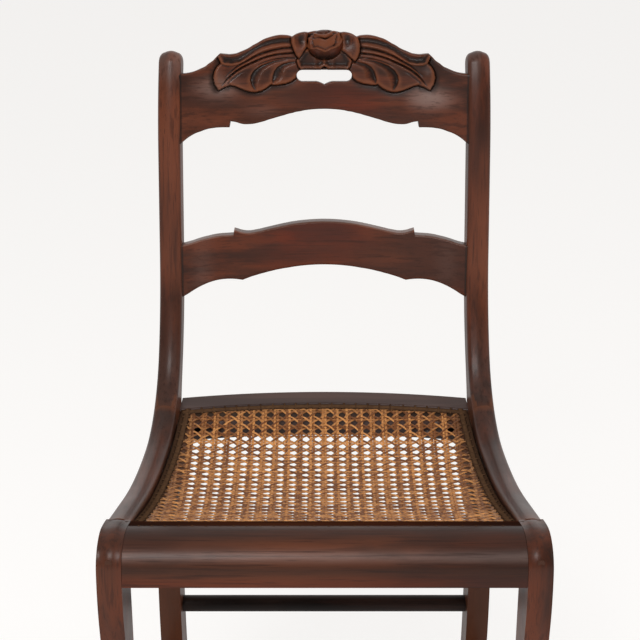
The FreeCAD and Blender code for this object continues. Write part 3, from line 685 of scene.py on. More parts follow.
@dataclass(frozen=True)
class SideMarks:
    """Where the side members are red, where painted sheen lies on them and where they are darker, by height
    and by depth behind the front.
    """

    # Painted sheen with dust on the tops at seat height.
    seat_painted_sheen: Band = Band(480.0, 75.0)
    seat_depth: Onset = Onset(20.0, 30.0)
    shin_height: Onset = Onset(390.0, -60.0)
    shin_depth: Onset = Onset(150.0, -30.0)
    stile_height: Onset = Onset(560.0, 60.0)
    stile_waves: Pair = (17.0, 41.0)
    # Painted highlight high on the stiles, under their crowns.
    brow_painted_sheen: Band = Band(842.0, 26.0)
    brow_inner_half: float = 171.0
    brow_outer_share: float = 0.5
    # Painted shadow of the seat on the rear legs.
    heel_shadow_height: Onset = Onset(430.0, -40.0)
    heel_shadow_depth: Onset = Onset(200.0, 60.0)
    knee_grime_and_shade: Band = Band(432.0, 26.0)
    knee_depth: float = 45.0
    seat_grime_and_shade: Band = Band(475.0, 75.0)
    red_shares: Pair = (0.35, 0.35)
    painted_sheen_shares: Pair = (0.35, 0.65)
    grime_and_shade_shares: Triple = (0.5, 0.4, 0.5)

    def warmth(self, place: Vector) -> float:
        """How red a place is, negative where painted sheen lies on it.

        Args:
            place: Where it is on the chair.

        Returns:
            The mark's value.
        """
        shin = self.shin_height.at(place.z) * self.shin_depth.at(place.y)
        short_wave, long_wave = (math.sin(place.z / length) for length in self.stile_waves)
        stile = self.stile_height.at(place.z) * (0.5 + 0.5 * short_wave * long_wave)
        seat = self.seat_painted_sheen.at(place.z) * self.seat_depth.at(place.y)
        whole = place.x < 0 or abs(place.x) < self.brow_inner_half
        brow = self.brow_painted_sheen.at(place.z) * (1.0 if whole else self.brow_outer_share)
        return (self.red_shares[0] * shin + self.red_shares[1] * stile
                - self.painted_sheen_shares[0] * seat - self.painted_sheen_shares[1] * brow)

    def grime(self, place: Vector) -> float:
        """How dark a place is: painted shadow of the seat on the rear legs, and darker at the knee and along
        the seat rails.

        Args:
            place: Where it is on the chair.

        Returns:
            The mark's value.
        """
        knee = self.knee_grime_and_shade.at(place.z) * (place.y < self.knee_depth)
        heel = self.heel_shadow_height.at(place.z) * self.heel_shadow_depth.at(place.y)
        seat = self.seat_grime_and_shade.at(place.z) * self.seat_depth.at(place.y)
        return sum(share * mark for share, mark in zip(self.grime_and_shade_shares, (knee, heel, seat)))

    def mark(self, mesh: BMesh) -> None:
        """Write both marks into a mesh.

        Args:
            mesh: The mesh, in its place on the chair.
        """
        warmth, grime = mesh.verts.layers.float.new("warmth"), mesh.verts.layers.float.new("grime")
        for vert in mesh.verts:
            vert[warmth] = self.warmth(vert.co)
            vert[grime] = self.grime(vert.co)


@dataclass
class SideMember:
    """Front leg, side rail and back post of one side, cut from one S shaped line.

    A pair such as leg_shoulder is the radius and the angle of an arc.
    """

    front_width: float = 445.0
    seat_height: float = 445.0
    toe_in_share: float = 0.10
    thickness: float = 25.0
    roll_radius: float = 34.0
    leg_shoulder: Pair = (252.0, 15.0)
    leg_sweep_radius: float = 574.0
    front_leg_depth: float = 46.0
    leg_back_shoulder: Pair = (300.0, 7.5)
    leg_calf_radius: float = 1215.0
    leg_ankle_radius: float = 530.0
    roll_back_radius: float = 180.0
    fall_angle: float = 6.3
    fall_length: float = 86.0
    fall_parts: int = 4
    dip: Pair = (480.0, 16.3)
    knee_radius: float = 120.0
    knee_angle: float = 70.0
    lean: Pair = (340.0, 18.0)
    upright_length: float = 121.5
    curl: Pair = (400.0, 14.0)
    stile_depth: float = 26.5
    post_back_length: float = 26.0
    post_back: Pair = (230.0, 20.0)
    rear_leg_depth: float = 36.0
    rear_leg_straight_end: float = 300.0
    rear_leg_front_radius: float = 700.0
    rear_leg_back_radius: float = 735.0
    front_joint_depth: float = 58.0
    rail_heights: Triple = (45.0, 40.0, 50.0)
    edge_round: float = 5.6
    under_round: float = 2.0
    joint_round: float = 0.45
    round_faces: tuple[int, int, int] = (5, 2, 1)
    face_crown: float = 1.3
    crown_margin: float = 0.1
    crown_cuts: int = 5
    crown_arch: float = 1.7
    crown_reach_share: float = 1.6
    roll_step: float = 3.0
    top_step: float = 2.0
    calf_margin: float = 8.0
    foot_height: float = 60.0
    calf_height: float = 330.0
    calf_share: float = 0.28
    heel_margin: float = 12.0
    heel_share: float = 0.25
    rail_low_margin: float = 12.0
    marks: SideMarks = SideMarks()

    def __post_init__(self) -> None:
        """Walk the lines once, to find where the joints are."""
        top = self.top_line()
        top.line_to(self.front_joint_depth, self.height_on_fall(top, self.front_joint_depth))
        self.front_top = top.z
        self.front_low = top.z - self.rail_heights[0]
        top = self.top_line().straight(self.fall_length).arc(*self.dip)
        post = Pen(top.y, top.z, top.heading).arc(self.knee_radius, self.knee_angle - top.heading)
        self.draw_upper_post(post)
        self.rear_joint_depth = post.y - self.rear_leg_depth
        top.arc_to_depth(self.knee_radius, self.rear_joint_depth)
        self.rear_top, self.rear_heading = top.z, top.heading
        self.rear_low = top.z - self.rail_heights[2]
        self.toe_in = math.atan(self.toe_in_share)
        self.inner_front_half = self.front_width / 2 - self.thickness * math.cos(self.toe_in)

    def inner_half(self, depth: float) -> float:
        """Half the width between the side members at a depth."""
        return self.inner_front_half - self.toe_in_share * depth

    def top_line(self, mesh: Optional[BMesh] = None, start: Optional[BMVert] = None) -> Pen:
        """Draw the top of the roll, up to where the straight fall begins."""
        pen = Pen(self.roll_radius, self.seat_height, 0, mesh, start)
        return pen.arc(self.roll_back_radius, -self.fall_angle)

    def height_on_fall(self, pen: Pen, depth: float) -> float:
        """Height of the straight fall at a depth."""
        return pen.z + (depth - pen.y) * math.tan(math.radians(pen.heading))

    def draw_upper_post(self, pen: Pen) -> None:
        """Draw the post from the knee up over its crown and down its back to the straight leg.

        Args:
            pen: The pen, at the end of the knee.
        """
        back_radius, back_angle = self.post_back
        curl_radius, curl_angle = self.curl
        lean_radius, lean_angle = self.lean
        pen.arc(lean_radius, lean_angle).straight(self.upright_length).arc(curl_radius, -curl_angle)
        pen.arc(self.stile_depth / 2, -180, self.top_step).arc(curl_radius - self.stile_depth, curl_angle)
        pen.straight(self.upright_length).arc(lean_radius + self.stile_depth, -lean_angle)
        pen.straight(self.post_back_length).arc(back_radius, back_angle)

    def placed(self, mesh: BMesh, hand: int) -> BMesh:
        """Turn a member into its side's toe-in and put it in its place.

        Args:
            mesh: A solid in the side's own plane, inner face at X zero.
            hand: -1 for the left side, 1 for the right.

        Returns:
            The mesh.
        """
        turn = Matrix.Rotation(-self.toe_in, 3, "Z")
        bmesh.ops.rotate(mesh, verts=mesh.verts[:], cent=(0, 0, 0), matrix=turn)
        bmesh.ops.translate(mesh, verts=mesh.verts[:], vec=(-self.inner_front_half, 0, 0))
        if hand > 0:
            bmesh.ops.scale(mesh, verts=mesh.verts[:], vec=(-1, 1, 1))
            bmesh.ops.reverse_faces(mesh, faces=mesh.faces[:])
        return mesh

    def thickened(self, mesh: BMesh, at_joint: Callable[[Vector], bool],
                  underside: Callable[[Vector], bool]) -> None:
        """Make the outline solid, round its edges and crown its faces.

        Args:
            mesh: The outline.
            at_joint: Whether a place on the outline is on a joint or on the floor.
            underside: Whether a place on the outline has the small rounding.
        """
        close_outline(mesh)
        extrude_all(mesh, (-self.thickness, 0, 0))

        def along(edge: BMEdge) -> Optional[Vector]:
            """The middle of an edge of the outline, or None for another edge."""
            first, second = (vert.co for vert in edge.verts)
            return None if abs(first.x - second.x) > NEAR else (first + second) / 2

        def broad(edge: BMEdge) -> bool:
            """Whether the edge is one of the long front, top and back ones."""
            middle = along(edge)
            return middle is not None and not at_joint(middle) and not underside(middle)

        def narrow(edge: BMEdge) -> bool:
            """Whether the edge is one of the long ones underneath."""
            middle = along(edge)
            corner = edge.calc_face_angle(0) > SHARP_CORNER
            return corner and middle is not None and not at_joint(middle) and underside(middle)

        def joint(edge: BMEdge) -> bool:
            """Whether the edge lies round a joint."""
            return edge.calc_face_angle(0) > SHARP_CORNER and all(at_joint(v.co) for v in edge.verts)

        rounds = (self.edge_round, self.under_round, self.joint_round)
        for pick, radius, faces in zip((broad, narrow, joint), rounds, self.round_faces):
            round_edges(mesh, pick, radius, faces)
        flat = self.thickness / 2 - self.edge_round - self.crown_margin
        wide = [e for e in mesh.edges if abs(e.verts[0].co.x - e.verts[1].co.x) > 2 * flat
                and not all(at_joint(v.co) or underside(v.co) for v in e.verts)]
        made = bmesh.ops.subdivide_edges(mesh, edges=wide, cuts=self.crown_cuts, use_grid_fill=False)
        mesh.normal_update()
        rises = [(vert, vert.normal.copy()) for vert in made["geom_inner"] if isinstance(vert, BMVert)]
        for vert, out in rises:
            share = (vert.co.x + self.thickness / 2) / flat
            vert.co += out * self.face_crown * (1 - share * share)

    def front_leg(self) -> BMesh:
        """Make the sabre front leg with the end of the roll.

        Returns:
            The mesh in the side's own plane.
        """
        mesh = bmesh.new()
        front = Pen(self.roll_radius, self.seat_height, 180, mesh)
        start = front.tip
        front.arc(self.roll_radius, 90, self.roll_step).arc(*self.leg_shoulder)
        front.arc_to_floor(self.leg_sweep_radius, -1)
        top = self.top_line(mesh, start)
        top.line_to(self.front_joint_depth, self.front_top).line_to(self.front_joint_depth, self.front_low)
        top.line_to(self.front_leg_depth, self.front_low)
        top.heading = 270
        shoulder_radius, shoulder_angle = self.leg_back_shoulder
        top.arc(shoulder_radius, shoulder_angle).arc(self.leg_calf_radius, -shoulder_angle)
        top.arc_to_floor(self.leg_ankle_radius, -1)
        centre = (front.y + top.y) / 2

        def at_joint(place: Vector) -> bool:
            """On the joint with the rail, or on the floor."""
            low = abs(place.z - self.front_low) < NEAR and place.y > self.front_leg_depth - NEAR
            return abs(place.y - self.front_joint_depth) < NEAR or abs(place.z) < NEAR or low

        def underside(place: Vector) -> bool:
            """On the back of the leg."""
            edge = self.front_leg_depth - self.calf_margin if place.z > self.foot_height else centre
            return (place.z < self.front_low
                    and place.y > edge - max(0, self.calf_height - place.z) * self.calf_share)

        self.thickened(mesh, at_joint, underside)
        return mesh

    def side_rail(self) -> BMesh:
        """Make the side rail between the leg and the post.

        Returns:
            The mesh in the side's own plane.
        """
        mesh = bmesh.new()
        pen = Pen(self.front_joint_depth, self.front_top, -self.fall_angle, mesh)
        walked = (self.front_joint_depth - self.top_line().y) / math.cos(math.radians(self.fall_angle))
        for _ in range(self.fall_parts):
            pen.straight((self.fall_length - walked) / self.fall_parts)
        pen.arc(*self.dip).arc_to_depth(self.knee_radius, self.rear_joint_depth)
        middle_depth = (self.front_joint_depth + self.rear_joint_depth) / 2
        heights = sorted((abs(v.co.y - middle_depth), v.co.z) for v in mesh.verts)
        first = Vector((self.rear_joint_depth, self.rear_low))
        middle = Vector((middle_depth, heights[0][1] - self.rail_heights[1]))
        last = Vector((self.front_joint_depth, self.front_low))
        pen.line_to(*first)
        pen.heading, radius, turn = three_point_arc(first, middle, last)
        pen.arc(radius, turn)

        def at_joint(place: Vector) -> bool:
            """On the joint with the leg or with the post."""
            return min(abs(place.y - self.front_joint_depth), abs(place.y - self.rear_joint_depth)) < NEAR

        def underside(place: Vector) -> bool:
            """Along the bottom."""
            share = (place.y - self.front_joint_depth) / (self.rear_joint_depth - self.front_joint_depth)
            return place.z < self.front_low + self.rail_low_margin + share * (self.rear_low - self.front_low)

        self.thickened(mesh, at_joint, underside)
        return mesh

    def back_post(self) -> BMesh:
        """Make the post, from the crown down to the heel of the rear leg.

        Returns:
            The mesh in the side's own plane.
        """
        mesh = bmesh.new()
        pen = Pen(self.rear_joint_depth, self.rear_top, self.rear_heading, mesh)
        start = pen.tip
        pen.arc(self.knee_radius, self.knee_angle - self.rear_heading)
        self.draw_upper_post(pen)
        pen.straight(pen.z - self.rear_leg_straight_end).arc_to_floor(self.rear_leg_back_radius, 1)
        front = Pen(self.rear_joint_depth, self.rear_top, 270, mesh, start)
        front.line_to(self.rear_joint_depth, self.rear_low)
        front.line_to(self.rear_joint_depth, self.rear_leg_straight_end)
        front.arc_to_floor(self.rear_leg_front_radius, 1)

        def at_joint(place: Vector) -> bool:
            """On the joint with the rail, or on the floor."""
            on_rail = abs(place.y - self.rear_joint_depth) < NEAR and place.z > self.rear_low - NEAR
            return abs(place.z) < NEAR or on_rail

        def underside(place: Vector) -> bool:
            """On the front of the rear leg."""
            swept = max(0, self.rear_leg_straight_end - place.z) * self.heel_share
            return place.z < self.rear_low and place.y < self.rear_joint_depth + self.heel_margin + swept

        self.thickened(mesh, at_joint, underside)
        crown = max(vert.co.z for vert in mesh.verts)
        for vert in mesh.verts:
            reach = max(0.0, 1 - (crown - vert.co.z) / (self.crown_reach_share * self.stile_depth))
            vert.co.z -= self.crown_arch * reach * (2 * vert.co.x / self.thickness + 1) ** 2
        return mesh

    def dress(self) -> None:
        """Make both sides' members."""
        for hand, side in ((-1, "left"), (1, "right")):
            for part, maker, grain in (("front_leg", self.front_leg, Grain.UPRIGHT),
                                       ("side_rail", self.side_rail, Grain.DEEP),
                                       ("back_post", self.back_post, Grain.UPRIGHT)):
                mesh = self.placed(maker(), hand)
                self.marks.mark(mesh)
                piece = finished_piece(mesh, f"shaped_{side}_{part}", [MAHOGANY.material(grain)])
                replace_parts(piece, f"{side}_{part}")


def three_point_arc(first: Vector, middle: Vector, last: Vector) -> Triple:
    """The arc through three places.

    Args:
        first: Where it starts, as depth and height.
        middle: A place on it.
        last: Where it ends.

    Returns:
        Its first heading in degrees, its radius and its turn in degrees.
    """
    a, b = middle - first, last - first
    cross = a.x * b.y - a.y * b.x
    centre = first + Vector((b.y * a.length_squared - a.y * b.length_squared,
                             a.x * b.length_squared - b.x * a.length_squared)) / (2 * cross)
    hand = math.copysign(1.0, cross)
    spoke, end = first - centre, last - centre
    turn = math.degrees(math.atan2(spoke.x * end.y - spoke.y * end.x, spoke.dot(end)))
    heading = math.degrees(math.atan2(hand * spoke.x, -hand * spoke.y))
    return heading, spoke.length, turn


# Front rail

@dataclass
class FrontRail:
    """The rolled front rail, with its ledge for the cane."""

    sides: SideMember
    height: float = 49.0
    top_depth: float = 40.0
    ledge_depth: float = 52.0
    ledge_drop: float = 3.2
    ledge_fall: float = 2.1
    ledge_height: float = 20.0
    roll_step: float = 2.5
    low_round: float = 3.0
    low_round_faces: int = 3
    end_round: float = 0.5
    end_gap: float = 0.35
    mark_levels: tuple[float, ...] = (6.0, 11.0, 16.0)
    red: Band = Band(2.0, 10.0)
    # Painted highlight on the turn of the roll.
    painted_sheen: Band = Band(30.5, 8.0)
    # Painted shade: the dark band below the highlight, and the top of the roll darker.
    dark: Band = Band(18.0, 6.0)
    top_grime_and_shade: Onset = Onset(40.0, 5.0)
    ledge_marks: tuple[Onset, Onset] = (Onset(14.0, 10.0), Onset(30.0, 5.0))
    red_and_sheen_shares: Triple = (0.6, -0.5, 0.3)
    grime_and_shade_shares: Triple = (0.6, 0.25, 0.35)
    dull_depth: float = 20.0
    dull_slope: float = 0.9

    def __post_init__(self) -> None:
        """Work out where the rail's lower edge is."""
        self.low = self.sides.seat_height - self.height

    def outline(self, mesh: BMesh) -> None:
        """Draw the section of the rail.

        Args:
            mesh: The mesh it goes in.
        """
        sides = self.sides
        front = Pen(sides.roll_radius, sides.seat_height, 180, mesh)
        start = front.tip
        front.arc(sides.roll_radius, 90, self.roll_step)
        front.line_to(0, self.low).line_to(self.top_depth, self.low)
        ledge_top = sides.seat_height - self.ledge_drop
        front.line_to(self.top_depth, ledge_top - self.ledge_height)
        front.line_to(self.ledge_depth, ledge_top - self.ledge_height - self.ledge_fall)
        front.line_to(self.ledge_depth, ledge_top - self.ledge_fall).line_to(self.top_depth, ledge_top)
        top = sides.top_line(mesh, start)
        top.line_to(self.top_depth, sides.height_on_fall(top, self.top_depth))
        close_outline(mesh)

    def solid(self) -> BMesh:
        """Make the rail between the legs, with its edges rounded.

        Returns:
            The mesh in millimetres.
        """
        mesh = bmesh.new()
        self.outline(mesh)
        sides = self.sides
        half = sides.inner_front_half - self.end_gap
        extrude_all(mesh, (2 * half, 0, 0))
        bmesh.ops.translate(mesh, verts=mesh.verts[:], vec=(-half, 0, 0))
        for hand in (-1, 1):
            cut_level(mesh, (hand * half, 0, 0), (hand, sides.toe_in_share, 0), clear=True)

        def low_edge(edge: BMEdge) -> bool:
            """One of the two long bottom edges."""
            first, second = (vert.co for vert in edge.verts)
            return abs(first.x - second.x) > half and max(first.z, second.z) < self.low + NEAR

        def end_edge(edge: BMEdge) -> bool:
            """An edge round an end of the rail."""
            ends = all(abs(abs(v.co.x) - sides.inner_half(v.co.y) + self.end_gap) < NEAR for v in edge.verts)
            return ends and edge.calc_face_angle(0) > SHARP_CORNER

        round_edges(mesh, low_edge, self.low_round, self.low_round_faces)
        round_edges(mesh, end_edge, self.end_round, 1)
        for level in self.mark_levels:
            cut_level(mesh, (0, 0, self.low + level), (0, 0, 1))
        return mesh

    def mark(self, mesh: BMesh) -> None:
        """Make the rail red below, with painted shade above that, a painted highlight on the turn of the
        roll, painted shade on its top, and dull behind it.

        Args:
            mesh: The rail.
        """
        warmth, grime = mesh.verts.layers.float.new("warmth"), mesh.verts.layers.float.new("grime")
        for vert in mesh.verts:
            rise = vert.co.z - self.low
            ledge = self.ledge_marks[0].at(vert.co.y) * self.ledge_marks[1].at(rise)
            warm = (self.red.at(rise), self.painted_sheen.at(rise), ledge)
            shade_and_soiled = (self.dark.at(rise), self.top_grime_and_shade.at(rise), ledge)
            vert[warmth] = sum(share * mark for share, mark in zip(self.red_and_sheen_shares, warm))
            vert[grime] = sum(share * mark for share, mark in zip(self.grime_and_shade_shares, shade_and_soiled))
        mesh.normal_update()
        for face in mesh.faces:
            behind = face.calc_center_median().y > self.dull_depth
            face.material_index = int(behind and face.normal.z > self.dull_slope)

    def dress(self) -> None:
        """Make the rail."""
        mesh = self.solid()
        self.mark(mesh)
        finishes = [wood.material(Grain.ACROSS) for wood in (ROLL_WOOD, LEDGE_WOOD)]
        piece = finished_piece(mesh, "shaped_front_rail", finishes)
        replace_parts(piece, "front_seat_rail")


# Seat line and caned seat

CANE_MARKS = ("strand", "dirt")


def square_to(here: Vector, ahead: Vector) -> Vector:
    """The way to the left of a line, one unit long."""
    way = (ahead - here).normalized()
    return Vector((-way.y, way.x))


def clipped(inside: Callable[[float], bool], reach: Reach, step: float = 0.5) -> Reach:
    """The part of a reach that is inside.

    Args:
        inside: Whether a distance is inside.
        reach: First and last distance.
        step: Distance between the places that are tried.

    Returns:
        The first and last distance inside, the same where there is none.
    """
    low, high = reach
    within = [t for t in np.arange(low, high, step) if inside(float(t))]
    return (within[0], within[-1]) if within else (low, low)


def cane_piece(mesh: BMesh, name: str, finish: Material, thickness: float) -> Object:
    """Turn flat strands into a piece with a thickness.

    Args:
        mesh: The strands, which are freed.
        name: Name of the piece.
        finish: Its material.
        thickness: How thick the cane is.

    Returns:
        The piece.
    """
    piece = finished_piece(mesh, name, [finish], smooth_angle=60.0, weighted=False)
    body = piece.modifiers.new("thickness", "SOLIDIFY")
    body.thickness = thickness * MM
    body.offset = -1
    return piece


@dataclass
class SeatLine:
    """The top of the cane in side view, from pairs of a radius and an angle."""

    start: Pair = (40.0, 444.4)
    fall: Pair = (10.0, 62.0)
    dip_radius: float = 540.0
    middle: Pair = (600.0, 7.0)
    rear: Pair = (280.0, 11.0)
    tail_length: float = 90.0
    step: float = 4.0

    def __post_init__(self) -> None:
        """Draw the line once and keep its places."""
        mesh = bmesh.new()
        fall_angle, fall_length = self.fall
        pen = Pen(*self.start, -fall_angle, mesh)
        pen.straight(fall_length).arc(self.dip_radius, fall_angle, self.step).arc(*self.middle, self.step)
        pen.arc(*self.rear, self.step).straight(self.tail_length)
        places = sorted((v.co.y, v.co.z) for v in mesh.verts)
        mesh.free()
        self.depths = [place[0] for place in places]
        self.heights = [place[1] for place in places]

    def height(self, depth: float) -> float:
        """Height of the cane at a depth."""
        return float(np.interp(depth, self.depths, self.heights))


@dataclass
class CanedSeat:
    """The six way weave: pairs lengthwise and crosswise, and single diagonals both ways."""

    sides: SideMember
    line: SeatLine
    column_pitch: float = 13.4
    row_pitch: float = 13.2
    first_row: float = 54.6
    pair_offset: float = 1.55
    pair_width: float = 2.8
    pair_stray: float = 0.12
    diagonal_width: float = 3.1
    diagonal_stray: float = 0.15
    diagonal_overrun: float = 20.0
    strand_thickness: float = 0.5
    strand_crown: float = 1.1
    shortest_strand: float = 8.0
    lift: float = 0.5
    middle_drop: float = 0.95
    front_depth: float = 42.5
    back_depth: float = 355.5
    back_bow: float = 11.5
    side_inset: float = 9.0
    sag: float = 3.0
    sag_depth: Onset = Onset(60.0, 250.0)
    sag_rear: Onset = Onset(0.0, 60.0)
    dirt_share: float = 0.75
    dirt_reach: float = 9.0
    dirt_rear_share: float = 1.3
    dirt_front: Pair = (2.0, 4.0)
    samples: int = 6
    seeds: tuple[int, int, int, int] = (11, 12, 13, 14)

    def back_at(self, x: float) -> float:
        """Depth where the weave ends at the back."""
        half = self.sides.inner_half(self.back_depth)
        return self.back_depth + self.back_bow * (1 - (x / half) ** 2)

    def half_at(self, depth: float) -> float:
        """Half the width of the weave at a depth."""
        return self.sides.inner_half(depth) - self.side_inset

    def surface(self, x: float, depth: float) -> float:
        """Height of the middle of the weave.

        Args:
            x: Place across.
            depth: Place from front to back.

        Returns:
            The height.
        """
        edge = max(0.0, 1 - (x / self.half_at(depth)) ** 2)
        sag = self.sag * self.sag_depth.at(depth) * edge * self.sag_rear.at(self.back_at(x) - depth)
        return self.line.height(depth) - self.middle_drop - sag

    def inside(self, x: float, depth: float) -> bool:
        """Whether a place is on the weave."""
        return self.front_depth <= depth <= self.back_at(x) and abs(x) <= self.half_at(depth)

    def dirt(self, x: float, depth: float) -> float:
        """How grimy the cane is: most where it meets the frame.

        Args:
            x: Place across.
            depth: Place from front to back.

        Returns:
            The mark's value, from 0 to 1.
        """
        share, base = self.dirt_front
        reach = min(self.half_at(depth) - abs(x), self.dirt_rear_share * (self.back_at(x) - depth),
                    share * (depth - self.front_depth) + base)
        return self.dirt_share * math.exp(-max(0.0, reach) / self.dirt_reach)

    def strand(self, mesh: BMesh, place: Path, reach: Reach, width: float,
               wave: Callable[[float, float], float], pitch: float, tone: float) -> None:
        """Lay one strand.

        Args:
            mesh: The mesh it goes in.
            place: X and depth at a distance along the strand.
            reach: First and last distance.
            width: Its width.
            wave: Its lift at an X and depth.
            pitch: Distance between the crossings it goes over and under.
            tone: Its own shade, from 0 to 1.
        """
        first, last = clipped(lambda t: self.inside(*place(t)), reach)
        if last - first < self.shortest_strand:
            return
        count = max(4, round((last - first) / pitch * self.samples))
        grid = bmesh.ops.create_grid(mesh, x_segments=count, y_segments=2, size=0.5)["verts"]
        start, end = Vector(place(first)), Vector(place(last))
        side = square_to(start, end)
        strands, dirts = (mesh.verts.layers.float[name] for name in CANE_MARKS)
        for vert in grid:
            along, cross = vert.co.x + 0.5, vert.co.y
            x, depth = place(first + along * (last - first))
            height = self.surface(x, depth) + wave(x, depth) + (0.25 - cross * cross) * self.strand_crown
            offset = cross * width
            vert.co = (x + side.x * offset, depth + side.y * offset, height)
            vert[strands] = tone
            vert[dirts] = self.dirt(x, depth)

    def woven(self, name: str, lay: Callable[[BMesh, np.random.Generator], None], seed: int) -> Object:
        """Make one set of strands.

        Args:
            name: Name of the piece.
            lay: Lays its strands.
            seed: Seed of the strands' shades.

        Returns:
            The piece.
        """
        mesh = marked_mesh(CANE_MARKS)
        lay(mesh, np.random.default_rng(seed))
        return cane_piece(mesh, name, self.finish, self.strand_thickness)

    def lengthwise(self, mesh: BMesh, chance: np.random.Generator) -> None:
        """Lay the pairs from front to back.

        Args:
            mesh: The mesh they go in.
            chance: Draws their strays and shades.
        """
        columns = int(self.sides.inner_front_half / self.column_pitch)
        reach = (self.front_depth, self.back_depth + self.back_bow)
        for column in range(-columns, columns + 1):
            for hand in (-1, 1):
                x = column * self.column_pitch + hand * self.pair_offset + chance.normal(0, self.pair_stray)

                def wave(_: float, depth: float, hand: int = hand) -> float:
                    """Under one strand of each crossing pair and over the other."""
                    return -hand * self.cross_wave(depth - self.first_row, self.row_pitch)

                self.strand(mesh, lambda t, x=x: (x, t), reach, self.pair_width, wave, self.row_pitch,
                            chance.random())

    def crosswise(self, mesh: BMesh, chance: np.random.Generator) -> None:
        """Lay the pairs from side to side.

        Args:
            mesh: The mesh they go in.
            chance: Draws their strays and shades.
        """
        rows = int((self.back_depth + self.back_bow - self.first_row) / self.row_pitch)
        half = self.sides.inner_front_half
        for row in range(rows + 1):
            for hand in (-1, 1):
                stray = chance.normal(0, self.pair_stray)
                depth = self.first_row + row * self.row_pitch + hand * self.pair_offset + stray

                def wave(x: float, _: float, hand: int = hand) -> float:
                    """Over one strand of each crossing pair and under the other."""
                    return hand * self.cross_wave(x, self.column_pitch)

                self.strand(mesh, lambda t, depth=depth: (t, depth), (-half, half), self.pair_width, wave,
                            self.column_pitch, chance.random())

    def cross_wave(self, distance: float, pitch: float) -> float:
        """The lift of a paired strand round the nearest crossing.

        Args:
            distance: Distance along the strand, from any crossing.
            pitch: Distance between the crossings.

        Returns:
            The lift.
        """
        near = (distance + pitch / 2) % pitch - pitch / 2
        if abs(near) > 2 * self.pair_offset:
            return 0.0
        return self.lift / 2 * math.sin(math.pi * near / (2 * self.pair_offset))

    def diagonal(self, hand: int) -> Callable[[BMesh, np.random.Generator], None]:
        """What lays the diagonals of one direction.

        Args:
            hand: 1 for strands that lean right going back, -1 for left.

        Returns:
            A function that lays them.
        """
        slope = self.row_pitch / self.column_pitch
        reach = (-self.diagonal_overrun, self.back_depth + self.diagonal_overrun)

        def lay(mesh: BMesh, chance: np.random.Generator) -> None:
            """Lay the strands of one direction.

            Args:
                mesh: The mesh they go in.
                chance: Draws their strays and shades.
            """
            count = int((2 * self.sides.inner_front_half + self.back_depth) / self.column_pitch)
            for index in range(-count, count):
                shift = (index + 0.5) * self.column_pitch + chance.normal(0, self.diagonal_stray)

                def place(t: float, shift: float = shift) -> Pair:
                    """X and depth at a distance across."""
                    return shift + hand * t, self.first_row + t * slope

                def wave(x: float, _: float) -> float:
                    """Over the pairs of one direction and under those of the other."""
                    return hand * self.lift * math.cos(2 * math.pi * x / self.column_pitch)

                self.strand(mesh, place, reach, self.diagonal_width, wave, self.column_pitch, chance.random())

        return lay

    def dress(self) -> None:
        """Make the four sets of strands, of which the first stands for the CAD's net."""
        self.finish = CANE.material()
        sets = (("cane_lengthwise", self.lengthwise), ("cane_crosswise", self.crosswise),
                ("cane_diagonal_right", self.diagonal(1)), ("cane_diagonal_left", self.diagonal(-1)))
        pieces = [self.woven(name, lay, seed) for (name, lay), seed in zip(sets, self.seeds)]
        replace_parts(pieces[0], "cane_seat")


